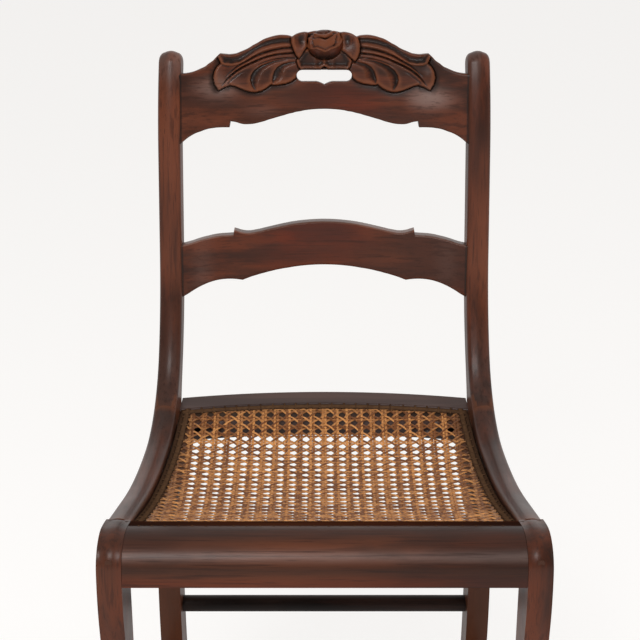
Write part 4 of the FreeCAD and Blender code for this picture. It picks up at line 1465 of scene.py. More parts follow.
@dataclass
class Binders:
    """The grimy cane strips that cover the seat's holes, with the small loops that hold them."""

    seat: CanedSeat
    width: float = 6.4
    thickness: float = 1.1
    crown: float = 0.9
    tone: float = 0.35
    step: float = 3.0
    side_inset: float = 8.6
    fuzz_inset: float = 3.6
    fuzz_width: float = 5.0
    fuzz_drop: float = 0.5
    fuzz_crown: float = 0.3
    fuzz_tone: float = 0.9
    side_reach: Pair = (44.0, 362.0)
    front_depth: float = 43.3
    front_margin: float = 2.0
    rear_setback: float = 3.0
    rear_margin: float = 3.0
    rise: float = 0.9
    loop_width: float = 2.2
    loop_length: float = 9.5
    loop_pitch: float = 13.3
    loop_start_share: float = 0.6
    loop_stray: float = 0.4
    loop_rise: float = 0.45
    loop_crown: float = 0.6
    loop_tones: Pair = (0.2, 0.6)
    loop_faces: int = 8
    fray_rates: Triple = (1.9, 3.0, 0.73)
    fray_shares: Pair = (0.25, 0.2)
    fray_lift: float = 0.3
    fray_tone: float = 0.35
    edge_dirt: Pair = (0.25, 0.6)
    look_ahead: float = 0.5

    def fray(self, distance: float, cross: float) -> float:
        """How far the fibres stray at a place on a strip.

        Args:
            distance: Distance along the strip.
            cross: Place across it, from -1 to 1.

        Returns:
            The stray, about as often up as down.
        """
        along, over, slow = self.fray_rates
        quick, broad = self.fray_shares
        return quick * math.sin(distance * along + cross * over) + broad * math.sin(distance * slow)

    def strip(self, mesh: BMesh, path: Path, reach: Reach, width: float, lift: float, crown: float,
              tone: float, count: int) -> None:
        """Lay a crowned strip.

        Args:
            mesh: The mesh it goes in.
            path: X and depth at a distance along its middle.
            reach: First and last distance.
            width: Its width.
            lift: How far its edges lie above the weave.
            crown: How far its middle stands above its edges.
            tone: Its own shade.
            count: Faces along it.
        """
        grid = bmesh.ops.create_grid(mesh, x_segments=count, y_segments=6, size=0.5)["verts"]
        strands, dirts = (mesh.verts.layers.float[name] for name in CANE_MARKS)
        dirt, edge_dirt = self.edge_dirt
        for vert in grid:
            distance = reach[0] + (vert.co.x + 0.5) * (reach[1] - reach[0])
            here = Vector(path(distance))
            cross = 2 * vert.co.y
            spot = here + square_to(here, Vector(path(distance + self.look_ahead))) * cross * width / 2
            fray = self.fray(distance, cross)
            rise = lift + crown * math.sqrt(max(0, 1 - cross * cross)) + self.fray_lift * fray
            vert[strands] = tone + self.fray_tone * fray
            vert[dirts] = min(1.0, dirt + edge_dirt * abs(cross) ** 3)
            vert.co = (spot.x, spot.y, self.seat.surface(spot.x, spot.y) + rise)

    def edging(self, node: str, path: Path, reach: Reach, fuzzy: bool = False) -> None:
        """Make the strip of one side of the seat, with its loops.

        Args:
            node: The CAD node that it stands for.
            path: X and depth at a distance along its middle.
            reach: First and last distance.
            fuzzy: Whether a frayed band lies beside it.
        """
        mesh = marked_mesh(CANE_MARKS)
        count = int((reach[1] - reach[0]) / self.step)
        self.strip(mesh, path, reach, self.width, self.rise, self.crown, self.tone, count)
        if fuzzy:
            def beside(distance: float) -> Pair:
                """A place beside the strip."""
                x, depth = path(distance)
                return x + math.copysign(self.side_inset - self.fuzz_inset, x), depth

            self.strip(mesh, beside, reach, self.fuzz_width, self.rise - self.fuzz_drop, self.fuzz_crown,
                       self.fuzz_tone, count)
        self.loops(mesh, path, reach, np.random.default_rng(len(node)))
        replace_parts(cane_piece(mesh, f"laid_{node}", BINDER_CANE.material(), self.thickness), node)

    def loops(self, mesh: BMesh, path: Path, reach: Reach, chance: np.random.Generator) -> None:
        """Lay the loops over a strip.

        Args:
            mesh: The mesh they go in.
            path: X and depth at a distance along the middle of the strip.
            reach: First and last distance.
            chance: Draws their strays and shades.
        """
        half = self.loop_length / 2
        for index in range(int((reach[1] - reach[0]) / self.loop_pitch)):
            stray = chance.normal(0, self.loop_stray)
            distance = reach[0] + (index + self.loop_start_share) * self.loop_pitch + stray
            here = Vector(path(distance))
            over = square_to(here, Vector(path(distance + self.look_ahead)))

            def loop(t: float, here: Vector = here, over: Vector = over) -> Pair:
                """A place on the loop over the strip."""
                return here.x + over.x * t, here.y + over.y * t

            tone = self.loop_tones[0] + self.loop_tones[1] * chance.random()
            self.strip(mesh, loop, (-half, half), self.loop_width, self.rise + self.loop_rise,
                       self.loop_crown, tone, self.loop_faces)

    def dress(self) -> None:
        """Make the four strips."""
        sides, seat = self.seat.sides, self.seat
        for hand, side in ((-1, "left"), (1, "right")):
            def beside_rail(depth: float, hand: int = hand) -> Pair:
                """A place on the strip of one side."""
                return hand * (sides.inner_half(depth) - self.side_inset), depth

            self.edging(f"{side}_cane_binder", beside_rail, self.side_reach, fuzzy=True)
        half = sides.inner_half(self.front_depth) - self.front_margin
        self.edging("front_cane_binder", lambda t: (t, self.front_depth), (-half, half))
        half = sides.inner_half(seat.back_depth) - self.rear_margin
        self.edging("rear_cane_binder", lambda t: (t, seat.back_at(t) - self.rear_setback), (-half, half))


# Carved crest rail and slat

def below(distance: Array, width: float) -> Array:
    """1 below a line and 0 above it, eased over a width."""
    return smooth_step(0.5 - distance / width)


def quarter_round(inside: Array, reach: float) -> Array:
    """0 on an outline, rising as a quarter round to 1 at a reach inside it."""
    return np.sqrt(1 - (1 - np.clip(inside / reach, 0, 1)) ** 2)


def blurred(heights: Array, reach: int) -> Array:
    """Local mean of a patch's heights.

    Args:
        heights: The heights, in rows and columns.
        reach: How many rows and columns on each side count.

    Returns:
        The means, in the same rows and columns.
    """
    for axis in (0, 1):
        padded = np.pad(heights, [(reach, reach) if axis == side else (0, 0) for side in (0, 1)], mode="edge")
        length, count = heights.shape[axis], 2 * reach + 1
        shifted = (np.take(padded, range(shift, shift + length), axis=axis) for shift in range(count))
        heights = sum(shifted) / count
    return heights


def drawn(x: Array, runs: Sequence[Sequence[Pair]]) -> Array:
    """Heights of an outline drawn smoothly through places, with a corner where a run ends.

    Args:
        x: Places across, of which only the distance from the middle counts.
        runs: Runs of places, each as half width and height.

    Returns:
        The height at each place across.
    """
    half = np.abs(x)
    result = np.zeros(half.shape)
    for run in runs:
        places, heights = np.array(sorted(run)).T
        slopes = np.gradient(heights, places)
        spot = np.clip(np.searchsorted(places, half) - 1, 0, len(places) - 2)
        width = places[spot + 1] - places[spot]
        share = (half - places[spot]) / width
        low, high = heights[spot], heights[spot + 1]
        eased = share * share * (3 - 2 * share)
        lean = width * share * (1 - share) * ((1 - share) * slopes[spot] - share * slopes[spot + 1])
        within = (half >= places[0]) & (half <= places[-1])
        result = np.where(within, low + (high - low) * eased + lean, result)
    return result


def from_line(x: Array, z: Array, places: Sequence[Sequence[float]]) -> tuple[Array, Array]:
    """How far places lie from a line.

    Args:
        x: Places across.
        z: Their heights.
        places: The line's places, each with the same count of further numbers.

    Returns:
        The distance, positive to the left of the line, and the further numbers at the nearest place.
    """
    line = np.array(places, float)
    best = np.full(x.shape, np.inf)
    side = np.ones(x.shape)
    values = np.zeros((line.shape[1] - 2, *x.shape))
    for start, end in zip(line[:-1], line[1:]):
        run = end[:2] - start[:2]
        over, up = x - start[0], z - start[1]
        share = np.clip((over * run[0] + up * run[1]) / run.dot(run), 0, 1)
        gap = np.hypot(over - share * run[0], up - share * run[1])
        closer = gap < best
        best = np.where(closer, gap, best)
        side = np.where(closer, np.where(run[0] * up - run[1] * over < 0, -1.0, 1.0), side)
        for index, (first, last) in enumerate(zip(start[2:], end[2:])):
            values[index] = np.where(closer, first + share * (last - first), values[index])
    return best * side, values


def depth_inside(x: Array, z: Array, corners: Sequence[Pair]) -> Array:
    """Distance to a closed outline.

    Args:
        x: Places across.
        z: Their heights.
        corners: The outline.

    Returns:
        The distance, positive inside the outline.
    """
    loop = [*corners, corners[0]]
    inside = np.zeros(x.shape, bool)
    for (x0, z0), (x1, z1) in zip(loop[:-1], loop[1:]):
        if z0 != z1:
            inside ^= ((z0 > z) != (z1 > z)) & (x < (x1 - x0) * (z - z0) / (z1 - z0) + x0)
    gap = np.abs(from_line(x, z, loop)[0])
    return np.where(inside, gap, -gap)


class CutShape(Enum):
    """Section of a carver's cut."""

    HOLLOW = "hollow"
    LINE = "line"
    RIDGE = "ridge"
    SCOOP = "scoop"


@dataclass(frozen=True)
class Cut:
    """A cut along a line, whose places give half width, height, depth and half width of the cut."""

    shape: CutShape
    places: tuple[tuple[float, float, float, float], ...]
    line_power: float = 1.5
    scoop_wall: float = 2.0
    scoop_wall_share: float = 0.35
    scoop_floor: float = 1.5
    least_fade: float = 0.5

    def depth(self, x: Array, z: Array) -> Array:
        """How deep the cut is at places on the board.

        Args:
            x: Half widths.
            z: Heights.

        Returns:
            The depth, negative for a ridge.
        """
        distance, (deep, wide) = from_line(x, z, self.places)
        share = np.clip(np.abs(distance) / wide, 0, 1)
        if self.shape is CutShape.HOLLOW:
            return deep * (1 - share * share)
        if self.shape is CutShape.LINE:
            return deep * (1 - share) ** self.line_power
        if self.shape is CutShape.RIDGE:
            return -deep * (1 - share) ** 2 * (1 + 2 * share)
        wall = smooth_step(distance / np.minimum(self.scoop_wall, self.scoop_wall_share * wide))
        fade = np.maximum(self.least_fade, wide - self.scoop_floor)
        return deep * wall * (1 - smooth_step((distance - self.scoop_floor) / fade))


WOOD_MARKS = ("worn", "grime", "warmth")
EDGE_ANGLES = (90.0, 67.5, 45.0, 22.5)


@dataclass
class BowedBoard:
    """A board between the posts, bowed backwards, with a drawn outline and rounded edges."""

    base_depth: float
    base_height: float
    lean: float
    thickness: float
    half: float
    end: float = 159.4
    bow: float = 18.0
    bow_reach_share: float = 1.06
    front_ease: float = 2.4
    back_ease: float = 2.4
    step: float = 0.8
    weld: float = 0.002
    front_rows: tuple[int, int] = (52, 58)
    back_rows: tuple[int, int] = (5, 5)
    corners: tuple[float, ...] = ()
    worn_blur: int = 6
    worn_height: float = 1.1
    # Grime and painted shade in the carving's creases and hollows.
    crease_blur: int = 2
    crease_depth: float = 0.35
    hollow_blur: int = 9
    hollow_depth: float = 1.6
    hollow_grime_and_shade: float = 0.75
    edge_wear: float = 0.3
    joint_reach: float = 2.6
    joint_fade: float = 1.2
    joint_grime_and_shade: float = 0.85
    back_red_and_sheen_share: float = 0.25
    top_painted_sheen: float = 0.0

    def top(self, x: Array) -> Array:
        """Height of the top edge above the base."""
        raise NotImplementedError

    def low(self, x: Array) -> Array:
        """Height of the lower edge above the base."""
        raise NotImplementedError

    def relief(self, x: Array, z: Array) -> Array:
        """How far the carving stands in front of the board."""
        return np.zeros(x.shape)

    def warmth(self, x: Array, z: Array) -> Array:
        """How red the wood is, negative where painted sheen lies on it."""
        return np.zeros(x.shape)

    def shade_and_soiled(self, x: Array, z: Array) -> Array:
        """How much darker the board is, apart from its hollows."""
        return np.zeros(x.shape)

    def bow_at(self, x: Array) -> Array:
        """How far back the board's face lies.

        Args:
            x: Places across.

        Returns:
            The depths.
        """
        reach = self.half * self.bow_reach_share
        radius = (reach ** 2 + self.bow ** 2) / (2 * self.bow)
        return self.bow - radius + np.sqrt(radius ** 2 - x ** 2)

    def placed(self, x: Array, y: Array, z: Array) -> Array:
        """Turn places on the board into places on the chair."""
        turn = math.radians(self.lean)
        return np.stack([x, self.base_depth + y * math.cos(turn) + z * math.sin(turn),
                         self.base_height - y * math.sin(turn) + z * math.cos(turn)], axis=-1)

    def columns(self, first: float, last: float) -> Array:
        """Places of the columns, with one at each corner of the outline.

        Args:
            first: Where they start.
            last: Where they end.

        Returns:
            The places across.
        """
        both = [hand * corner for corner in self.corners for hand in (-1, 1)]
        stops = sorted({first, last, *(corner for corner in both if first < corner < last)})
        runs = [np.linspace(start, end, math.ceil((end - start) / self.step) + 1)[:-1]
                for start, end in zip(stops[:-1], stops[1:])]
        return np.append(np.concatenate(runs), last)

    def lay(self, mesh: BMesh, x: Array, y: Array, z: Array, marks: dict[str, Array]) -> None:
        """Lay one patch of quads.

        Args:
            mesh: The mesh it goes in.
            x: Places across, in rows and columns.
            y: Depths square to the board.
            z: Heights along the board.
            marks: Attribute values in the same rows and columns.
        """
        rows, columns = x.shape
        verts = bmesh.ops.create_grid(mesh, x_segments=columns - 1, y_segments=rows - 1, size=0.5)["verts"]
        places = self.placed(x, y, z)
        layers = {name: mesh.verts.layers.float[name] for name in marks}
        for vert in verts:
            spot = round((vert.co.y + 0.5) * (rows - 1)), round((vert.co.x + 0.5) * (columns - 1))
            vert.co = places[spot]
            for name, layer in layers.items():
                vert[layer] = marks[name][spot]

    def skin(self, mesh: BMesh, columns: Array, edges: Sequence[Array], eases: Sequence[Array],
             front: bool, counts: Sequence[int]) -> None:
        """Lay the front or the back between two edges, with half of their walls.

        Args:
            mesh: The mesh it goes in.
            columns: Places of the columns.
            edges: Heights of the lower edge, the seams and the upper edge.
            eases: Rounding of the lower and the upper edge.
            front: Whether this is the front.
            counts: Rows between one edge and the next.
        """
        stops = [edges[0] + eases[0], *edges[1:-1], edges[-1] - eases[1]]
        rows = [stops[0][None]]
        for low, high, count in zip(stops[:-1], stops[1:], counts):
            rows.append(low + np.arange(1, count + 1)[:, None] / count * (high - low))
        z = np.concatenate(rows)
        x = np.repeat(columns[None], len(z), axis=0)
        stand = self.relief(x, z) if front else np.zeros(x.shape)
        y = self.bow_at(x) - stand if front else self.bow_at(x) + self.thickness
        worn, dark = self.face_marks(stand)
        if front:
            dark = dark + self.shade_and_soiled(x, z)
        inwards = 1 if front else -1
        middle = self.bow_at(columns) + self.thickness / 2
        low_rows, high_rows = [(middle, edges[0])], []
        for angle in EDGE_ANGLES:
            over, back = 1 - math.sin(math.radians(angle)), 1 - math.cos(math.radians(angle))
            low_rows.append((y[0] + inwards * back * eases[0], edges[0] + over * eases[0]))
            high_rows.insert(0, (y[-1] + inwards * back * eases[1], edges[-1] - over * eases[1]))
        high_rows.append((middle, edges[-1]))
        y = np.concatenate([[row[0] for row in low_rows], y, [row[0] for row in high_rows]])
        z = np.concatenate([[row[1] for row in low_rows], z, [row[1] for row in high_rows]])
        x = np.repeat(columns[None], len(z), axis=0)
        self.lay(mesh, x, y, z, self.all_marks(x, z, worn, dark, front))

    def face_marks(self, stand: Array) -> tuple[Array, Array]:
        """Marks that follow from the carving.

        Args:
            stand: How far the carving stands in front of the board.

        Returns:
            How worn the face is, where it stands proud, and how dark, with grime and painted shade in creases
            and hollows.
        """
        worn = np.clip((stand - blurred(stand, self.worn_blur)) / self.worn_height, 0, 1)
        creases = np.clip((blurred(stand, self.crease_blur) - stand) / self.crease_depth, 0, 1)
        hollows = (blurred(stand, self.hollow_blur) - stand) / self.hollow_depth
        return worn, creases + np.clip(hollows, 0, self.hollow_grime_and_shade)

    def all_marks(self, x: Array, z: Array, worn: Array, dark: Array, front: bool) -> dict[str, Array]:
        """Marks of a face and of the walls below and above it.

        Args:
            x: Places across, with the walls.
            z: Their heights.
            worn: How worn the face is, without the walls.
            dark: How dark the face is, without the walls.
            front: Whether this is the front.

        Returns:
            The marks by name.
        """
        walls = np.full((len(EDGE_ANGLES) + 1, x.shape[1]), self.edge_wear)
        walls[0] = 0
        clean = np.zeros(walls.shape)
        joint = np.clip((np.abs(x) - self.half + self.joint_reach) / self.joint_fade, 0, self.joint_grime_and_shade)
        warmth = self.warmth(x, z) * (1.0 if front else self.back_red_and_sheen_share)
        # Painted reflection of the bright surroundings on the top wall.
        warmth[-len(EDGE_ANGLES):] -= self.top_painted_sheen
        return {"worn": np.concatenate([walls, worn, walls[::-1]]),
                "grime": np.maximum(np.concatenate([clean, np.minimum(dark, 1), clean]), joint),
                "warmth": warmth}

    def board(self) -> BMesh:
        """Make the board without a slot.

        Returns:
            The mesh in millimetres.
        """
        mesh = marked_mesh(WOOD_MARKS)
        columns = self.columns(-self.end, self.end)
        low, high = self.low(columns), self.top(columns)
        for front, rows, ease in self.faces():
            eases = (np.full(columns.shape, ease),) * 2
            self.skin(mesh, columns, (low, (low + high) / 2, high), eases, front, rows)
        return self.closed(mesh)

    def faces(self) -> tuple[tuple[bool, tuple[int, int], float], ...]:
        """Front and back, each with its rows and the rounding of its edges."""
        return (True, self.front_rows, self.front_ease), (False, self.back_rows, self.back_ease)

    def closed(self, mesh: BMesh) -> BMesh:
        """Join the patches and close the two ends.

        Args:
            mesh: The patches.

        Returns:
            The mesh.
        """
        bmesh.ops.remove_doubles(mesh, verts=mesh.verts[:], dist=self.weld)
        bmesh.ops.holes_fill(mesh, edges=[e for e in mesh.edges if e.is_boundary])
        bmesh.ops.recalc_face_normals(mesh, faces=mesh.faces[:])
        return mesh


@dataclass(frozen=True)
class Raised:
    """A carved form: how far it rises, how wide its edge is rounded, and the groove round it."""

    rise: float
    edge: float
    groove: float
    groove_width: float

    def over(self, ground: Array, inside: Array, base: float, hollow: Array) -> Array:
        """Carve the form out of what lies round it."""
        top = base + self.rise * quarter_round(inside, self.edge) - hollow
        return np.where(inside > 0, top, ground - self.groove * hump(inside, self.groove_width))


@dataclass
class CrestRail(BowedBoard):
    """The crest rail: a rose between two spread leaves, over a long handhold slot."""

    base_depth: float = 391.38
    base_height: float = 754.0
    lean: float = 8.0
    thickness: float = 20.0
    half: float = 158.49
    corners: tuple[float, ...] = (114.5, 104.6, 103.4, 35.5, 17.5)
    slot_middle: float = 70.7
    slot_half: float = 30.5
    slot_radius: float = 6.4
    slot_turns: int = 10
    slot_cusp: Pair = (3.4, 9.0)
    slot_cusp_power: float = 1.4
    slot_ease: float = 1.6
    slot_ease_share: float = 0.45
    seam_fade: float = 60.0
    leaf: Raised = Raised(3.6, 2.2, 1.2, 0.8)
    leaf_trough: Pair = (0.5, 5.0)
    leaf_tip: Spot = Spot(113.0, 70.0, 8.0, (1.3, 1.0))
    leaf_tip_rise: float = 0.9
    deepest_cut: float = 3.4
    calyx: Raised = Raised(1.9, 1.3, 1.4, 0.9)
    calyx_dish: Onset = Onset(1.6, 4.0)
    calyx_dish_depth: float = 1.7
    calyx_rib: Band = Band(9.5, 2.2)
    calyx_rib_rise: float = 0.5
    petal: Raised = Raised(3.3, 3.0, 1.8, 0.9)
    petal_cup: Spot = Spot(24.5, 110.0, 7.0, (1.0, 0.95))
    petal_cup_depth: float = 2.9
    bud_place: Pair = (0.6, 106.4)
    bud_flatness: float = 1.06
    bud_radius: float = 18.4
    bud_groove: Pair = (2.6, 1.3)
    red_spot: Spot = Spot(20.0, 44.0, 17.0, (1 / 3.4, 1.0))
    # Painted sheen towards the ends.
    painted_sheen_spots: tuple[tuple[float, Spot], ...] = (
        (0.95, Spot(112.0, 45.0, 15.0, (1 / 2.1, 1.0))), (0.76, Spot(-118.0, 58.0, 15.0, (1 / 1.8, 1.0))),
        (0.4, Spot(-60.0, 34.0, 11.0, (1 / 3, 1.0))))
    # Grime and painted shade in the calyx and in the two big petals.
    calyx_dark: Onset = Onset(1.4, 1.6)
    petal_dark: Spot = Spot(24.0, 112.5, 6.5, (1.0, 0.85))
    petal_dark_half: float = 36.0
    dark_share: float = 0.6

    def top(self, x: Array) -> Array:
        """Height of the top edge."""
        return drawn(x, CREST_TOP)

    def low(self, x: Array) -> Array:
        """Height of the lower edge."""
        return drawn(x, CREST_LOW)

    def warmth(self, x: Array, z: Array) -> Array:
        """Redder in the middle under the slot, with painted sheen towards the ends."""
        return self.red_spot.at(x, z) - sum(share * spot.at(x, z) for share, spot in self.painted_sheen_spots)

    def relief(self, x: Array, z: Array) -> Array:
        """How far the leaves, petals and calyx stand in front of the board.

        Args:
            x: Places across.
            z: Their heights.

        Returns:
            The heights of the carving.
        """
        half = np.abs(x)
        leaf = depth_inside(half, z, LEAF_OUTLINE)
        cuts = sum(np.minimum(cut.depth(half, z), self.deepest_cut) for cut in LEAF_CUTS)
        trough, trough_width = self.leaf_trough
        height = self.leaf.over(-trough * hump(leaf, trough_width), leaf, 0.0,
                                cuts - self.leaf_tip_rise * self.leaf_tip.at(half, z))
        calyx = depth_inside(half, z, CALYX_OUTLINE)
        dish = self.calyx_dish_depth * self.calyx_dish.eased(calyx)
        rib = self.calyx_rib_rise * self.calyx_rib.at(half)
        height = self.calyx.over(height, calyx, self.leaf.rise, dish - rib)
        cup = self.petal_cup_depth * self.petal_cup.at(half, z)
        for hand, outline in PETAL_OUTLINES:
            petal = self.petal.over(height, depth_inside(half, z, outline), self.leaf.rise, cup)
            height = np.where(hand * x > 0, petal, height)
        bud_x, bud_z = self.bud_place
        bud = np.hypot(x - bud_x, (z - bud_z) * self.bud_flatness) - self.bud_radius
        groove, groove_width = self.bud_groove
        return height - groove * hump(np.maximum(bud, 0), groove_width)

    def shade_and_soiled(self, x: Array, z: Array) -> Array:
        """Dark with grime and painted shade inside the calyx and high in the two big petals.

        Args:
            x: Places across.
            z: Their heights.

        Returns:
            How dark the places are.
        """
        half = np.abs(x)
        calyx = self.calyx_dark.eased(depth_inside(half, z, CALYX_OUTLINE))
        petals = self.petal_dark.at(half, z) * (half < self.petal_dark_half)
        return self.dark_share * np.maximum(calyx, petals)

    def slot_edges(self, x: Array) -> tuple[Array, Array]:
        """The handhold slot, with a cusp in the middle of its lower edge.

        Args:
            x: Places across.

        Returns:
            Heights of its lower and upper edges.
        """
        over = np.clip(np.abs(x) - (self.slot_half - self.slot_radius), 0, self.slot_radius)
        half_height = np.sqrt(np.maximum(0, self.slot_radius ** 2 - over ** 2))
        drop, width = self.slot_cusp
        cusp = drop * (1 - np.clip(np.abs(x) / width, 0, 1)) ** self.slot_cusp_power
        return self.slot_middle - half_height - cusp, self.slot_middle + half_height

    def carved(self) -> BMesh:
        """Make the rail with its slot.

        Returns:
            The mesh in millimetres.
        """
        mesh = marked_mesh(WOOD_MARKS)
        straight = self.slot_half - self.slot_radius
        turn = np.sin(np.radians(np.linspace(0, 90, self.slot_turns + 1)))[1:] * self.slot_radius + straight
        turn[-1] = self.slot_half
        middle = np.concatenate([-turn[::-1], self.columns(-straight, straight), turn])
        slot_low, slot_high = self.slot_edges(middle)
        eased = np.minimum(self.slot_ease, self.slot_ease_share * (slot_high - slot_low))
        for front, rows, ease in self.faces():
            for first, last in ((-self.end, -self.slot_half), (self.slot_half, self.end)):
                columns = self.columns(first, last)
                low, high = self.low(columns), self.top(columns)
                share = smooth_step((np.abs(columns) - self.slot_half) / self.seam_fade)
                seam = self.slot_middle + share * ((low + high) / 2 - self.slot_middle)
                self.skin(mesh, columns, (low, seam, high), (np.full(columns.shape, ease),) * 2, front, rows)
            full = np.full(middle.shape, ease)
            self.skin(mesh, middle, (self.low(middle), slot_low), (full, eased), front, rows[:1])
            self.skin(mesh, middle, (slot_high, self.top(middle)), (eased, full), front, rows[1:])
        return self.closed(mesh)

    def dress(self) -> None:
        """Make the rail and its rose."""
        wood = CARVED_WOOD.material(Grain.ACROSS)
        rail = finished_piece(self.carved(), "carved_crest_rail", [wood], smooth_angle=50.0, weighted=False)
        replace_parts(rail, "crest_rail")
        rose = finished_piece(Rose(self).bud(), "carved_rose", [wood], smooth_angle=60.0, weighted=False)


@dataclass
class Rose:
    """The rose bud of folded petals: a ball that swells and sinks along the rims of its petals.

    Widths, heights and lines are shares of the half width and half height; swells are millimetres.
    """

    rail: CrestRail
    centre: Triple = (0.8, -0.5, 106.3)
    radii: Triple = (18.2, 16.0, 17.3)
    faces: tuple[int, int] = (200, 130)
    front_fade: float = 0.25
    inner_half: float = 0.8
    belly: Pair = (2.6, 0.08)
    belly_lip: tuple[float, Band] = (0.7, Band(-0.06, 0.07))
    heart: Pair = (1.5, 0.07)
    heart_lip: tuple[float, Band] = (0.6, Band(-0.06, 0.07))
    mouth: Band = Band(0.05, 0.05)
    mouth_depths: Pair = (2.2, 0.7)
    mouth_middle: Band = Band(0.0, 0.30)
    inner_lip: tuple[float, Band] = (1.5, Band(0.0, 0.085))
    cap_groove: tuple[float, Band] = (1.3, Band(0.07, 0.06))
    collar_rise: tuple[float, Onset] = (1.8, Onset(0.0, 0.06))
    collar_groove: tuple[float, Band] = (1.2, Band(-0.02, 0.04))
    collar_end: float = 0.05
    fold_groove: tuple[float, Band] = (1.1, Band(0.0, 0.045))
    even_fade: float = 0.5
    shoulder_share: float = 0.3
    swell_share_up: float = 0.8
    worn_height: float = 1.3
    worn_lip_share: float = 0.9
    worn_lips: tuple[Onset, Onset] = (Onset(0.0, 0.12), Onset(-0.02, 0.1))
    worn_caps: tuple[Onset, Onset] = (Onset(0.03, 0.08), Onset(-0.03, 0.08))
    # Grime and painted shade in the grooves, painted shadow below the belly rim and on the underside, and
    # darker on the cap.
    grime_and_shade_depth: float = 1.8
    grime_and_shade_start: float = 0.1
    dark_under: tuple[float, Onset] = (0.75, Onset(0.45, 0.45))
    dark_belly: tuple[float, Onset] = (0.3, Onset(0.0, 0.15))
    dark_cap: tuple[float, Onset] = (0.55, Onset(-0.02, 0.08))
    red_under: Pair = (-0.15, 0.2)

    def draw_lines(self, over: Array, up: Array) -> None:
        """Keep how far places lie above each line of the rose.

        Args:
            over: Places across.
            up: Their heights.
        """
        self.rim, self.slit, self.lip, self.cap = (
            up - np.interp(over, *np.array(line).T)
            for line in (ROSE_BELLY_RIM, ROSE_SLIT, ROSE_LIP, ROSE_CAP))
        left = np.interp(up, *np.array(ROSE_COLLAR_LEFT).T) - over
        right = over - np.interp(up, *np.array(ROSE_COLLAR_RIGHT).T)
        self.collar = np.maximum(left, right)
        self.fold = from_line(over, up, ROSE_FOLD)[0]
        self.inner = np.abs(over) < self.inner_half

    def swell(self, over: Array) -> Array:
        """How far the petals swell out of the ball.

        Args:
            over: Places across.

        Returns:
            The swell, negative in the grooves.
        """
        def grooved(part: tuple[float, Band], line: Array) -> Array:
            """A lip or a groove along a line."""
            return part[0] * part[1].at(line)

        swell = self.belly[0] * below(self.rim, self.belly[1]) + grooved(self.belly_lip, self.rim)
        swell += self.heart[0] * below(self.slit, self.heart[1]) + grooved(self.heart_lip, self.slit)
        deep, shallow = self.mouth_depths
        swell -= (deep * self.mouth_middle.at(over) + shallow) * self.mouth.at(self.slit) * self.inner
        swell += (grooved(self.inner_lip, self.lip) - grooved(self.cap_groove, self.cap)) * self.inner
        rise, onset = self.collar_rise
        collar = rise * onset.eased(self.collar) - grooved(self.collar_groove, self.collar)
        swell += collar * below(-self.rim, self.collar_end)
        return swell - grooved(self.fold_groove, self.fold)

    def marks(self, up: Array, local: Array) -> dict[str, Array]:
        """Where the rose is worn bright, where it is red, and where it is darker: grime and painted shade in
        its grooves, painted shadow below its belly rim and underneath, and darker on its cap.

        Args:
            up: Heights of its places.
            local: How far each place stands out from the petal round it.

        Returns:
            The marks by name.
        """
        lips, caps = self.worn_lips, self.worn_caps
        bright = lips[0].eased(self.rim) * lips[1].eased(-self.slit) * self.inner * (self.collar < 0)
        bright += caps[0].eased(self.slit) * caps[1].eased(-self.cap) * self.inner
        parts = ((self.dark_under, -up), (self.dark_belly, -self.rim), (self.dark_cap, self.cap))
        under, belly, cap = (share * onset.eased(line) for (share, onset), line in parts)
        dark = np.maximum(under + belly, cap * self.inner)
        red_line, red_fade = self.red_under
        return {"worn": np.clip(np.maximum(local / self.worn_height, self.worn_lip_share * bright), 0, 1),
                "grime": np.clip(np.maximum(-local / self.grime_and_shade_depth - self.grime_and_shade_start, dark), 0, 1),
                "warmth": below(self.rim - red_line, red_fade)}

    def bud(self) -> BMesh:
        """Make the rose.

        Returns:
            The mesh in millimetres.
        """
        mesh = marked_mesh(WOOD_MARKS)
        across, upright = self.faces
        bmesh.ops.create_uvsphere(mesh, u_segments=across, v_segments=upright, radius=1.0)
        over, deep, up = np.array([vert.co for vert in mesh.verts]).T
        self.draw_lines(over, up)
        front = below(deep, self.front_fade)
        swell = self.swell(over) * front
        even = self.belly[0] * below(self.rim, self.even_fade)
        even += self.heart[0] * below(self.slit, self.even_fade)
        marks = self.marks(up, (swell - even) * front)
        reach = np.array(self.radii) - self.belly[0]
        x = self.centre[0] + over * (reach[0] + swell)
        y = self.rail.bow_at(x) + self.centre[1] + deep * (reach[1] + swell)
        full = np.where(up > 0, up * (1 + self.shoulder_share - self.shoulder_share * up * up), up)
        z = self.centre[2] + full * (reach[2] + self.swell_share_up * swell)
        layers = {name: mesh.verts.layers.float[name] for name in marks}
        for index, (vert, place) in enumerate(zip(mesh.verts, self.rail.placed(x, y, z))):
            vert.co = place
            for name, layer in layers.items():
                vert[layer] = marks[name][index]
        bmesh.ops.recalc_face_normals(mesh, faces=mesh.faces[:])
        return mesh


# Outlines of the crest rail, as half width and height above its lower corner

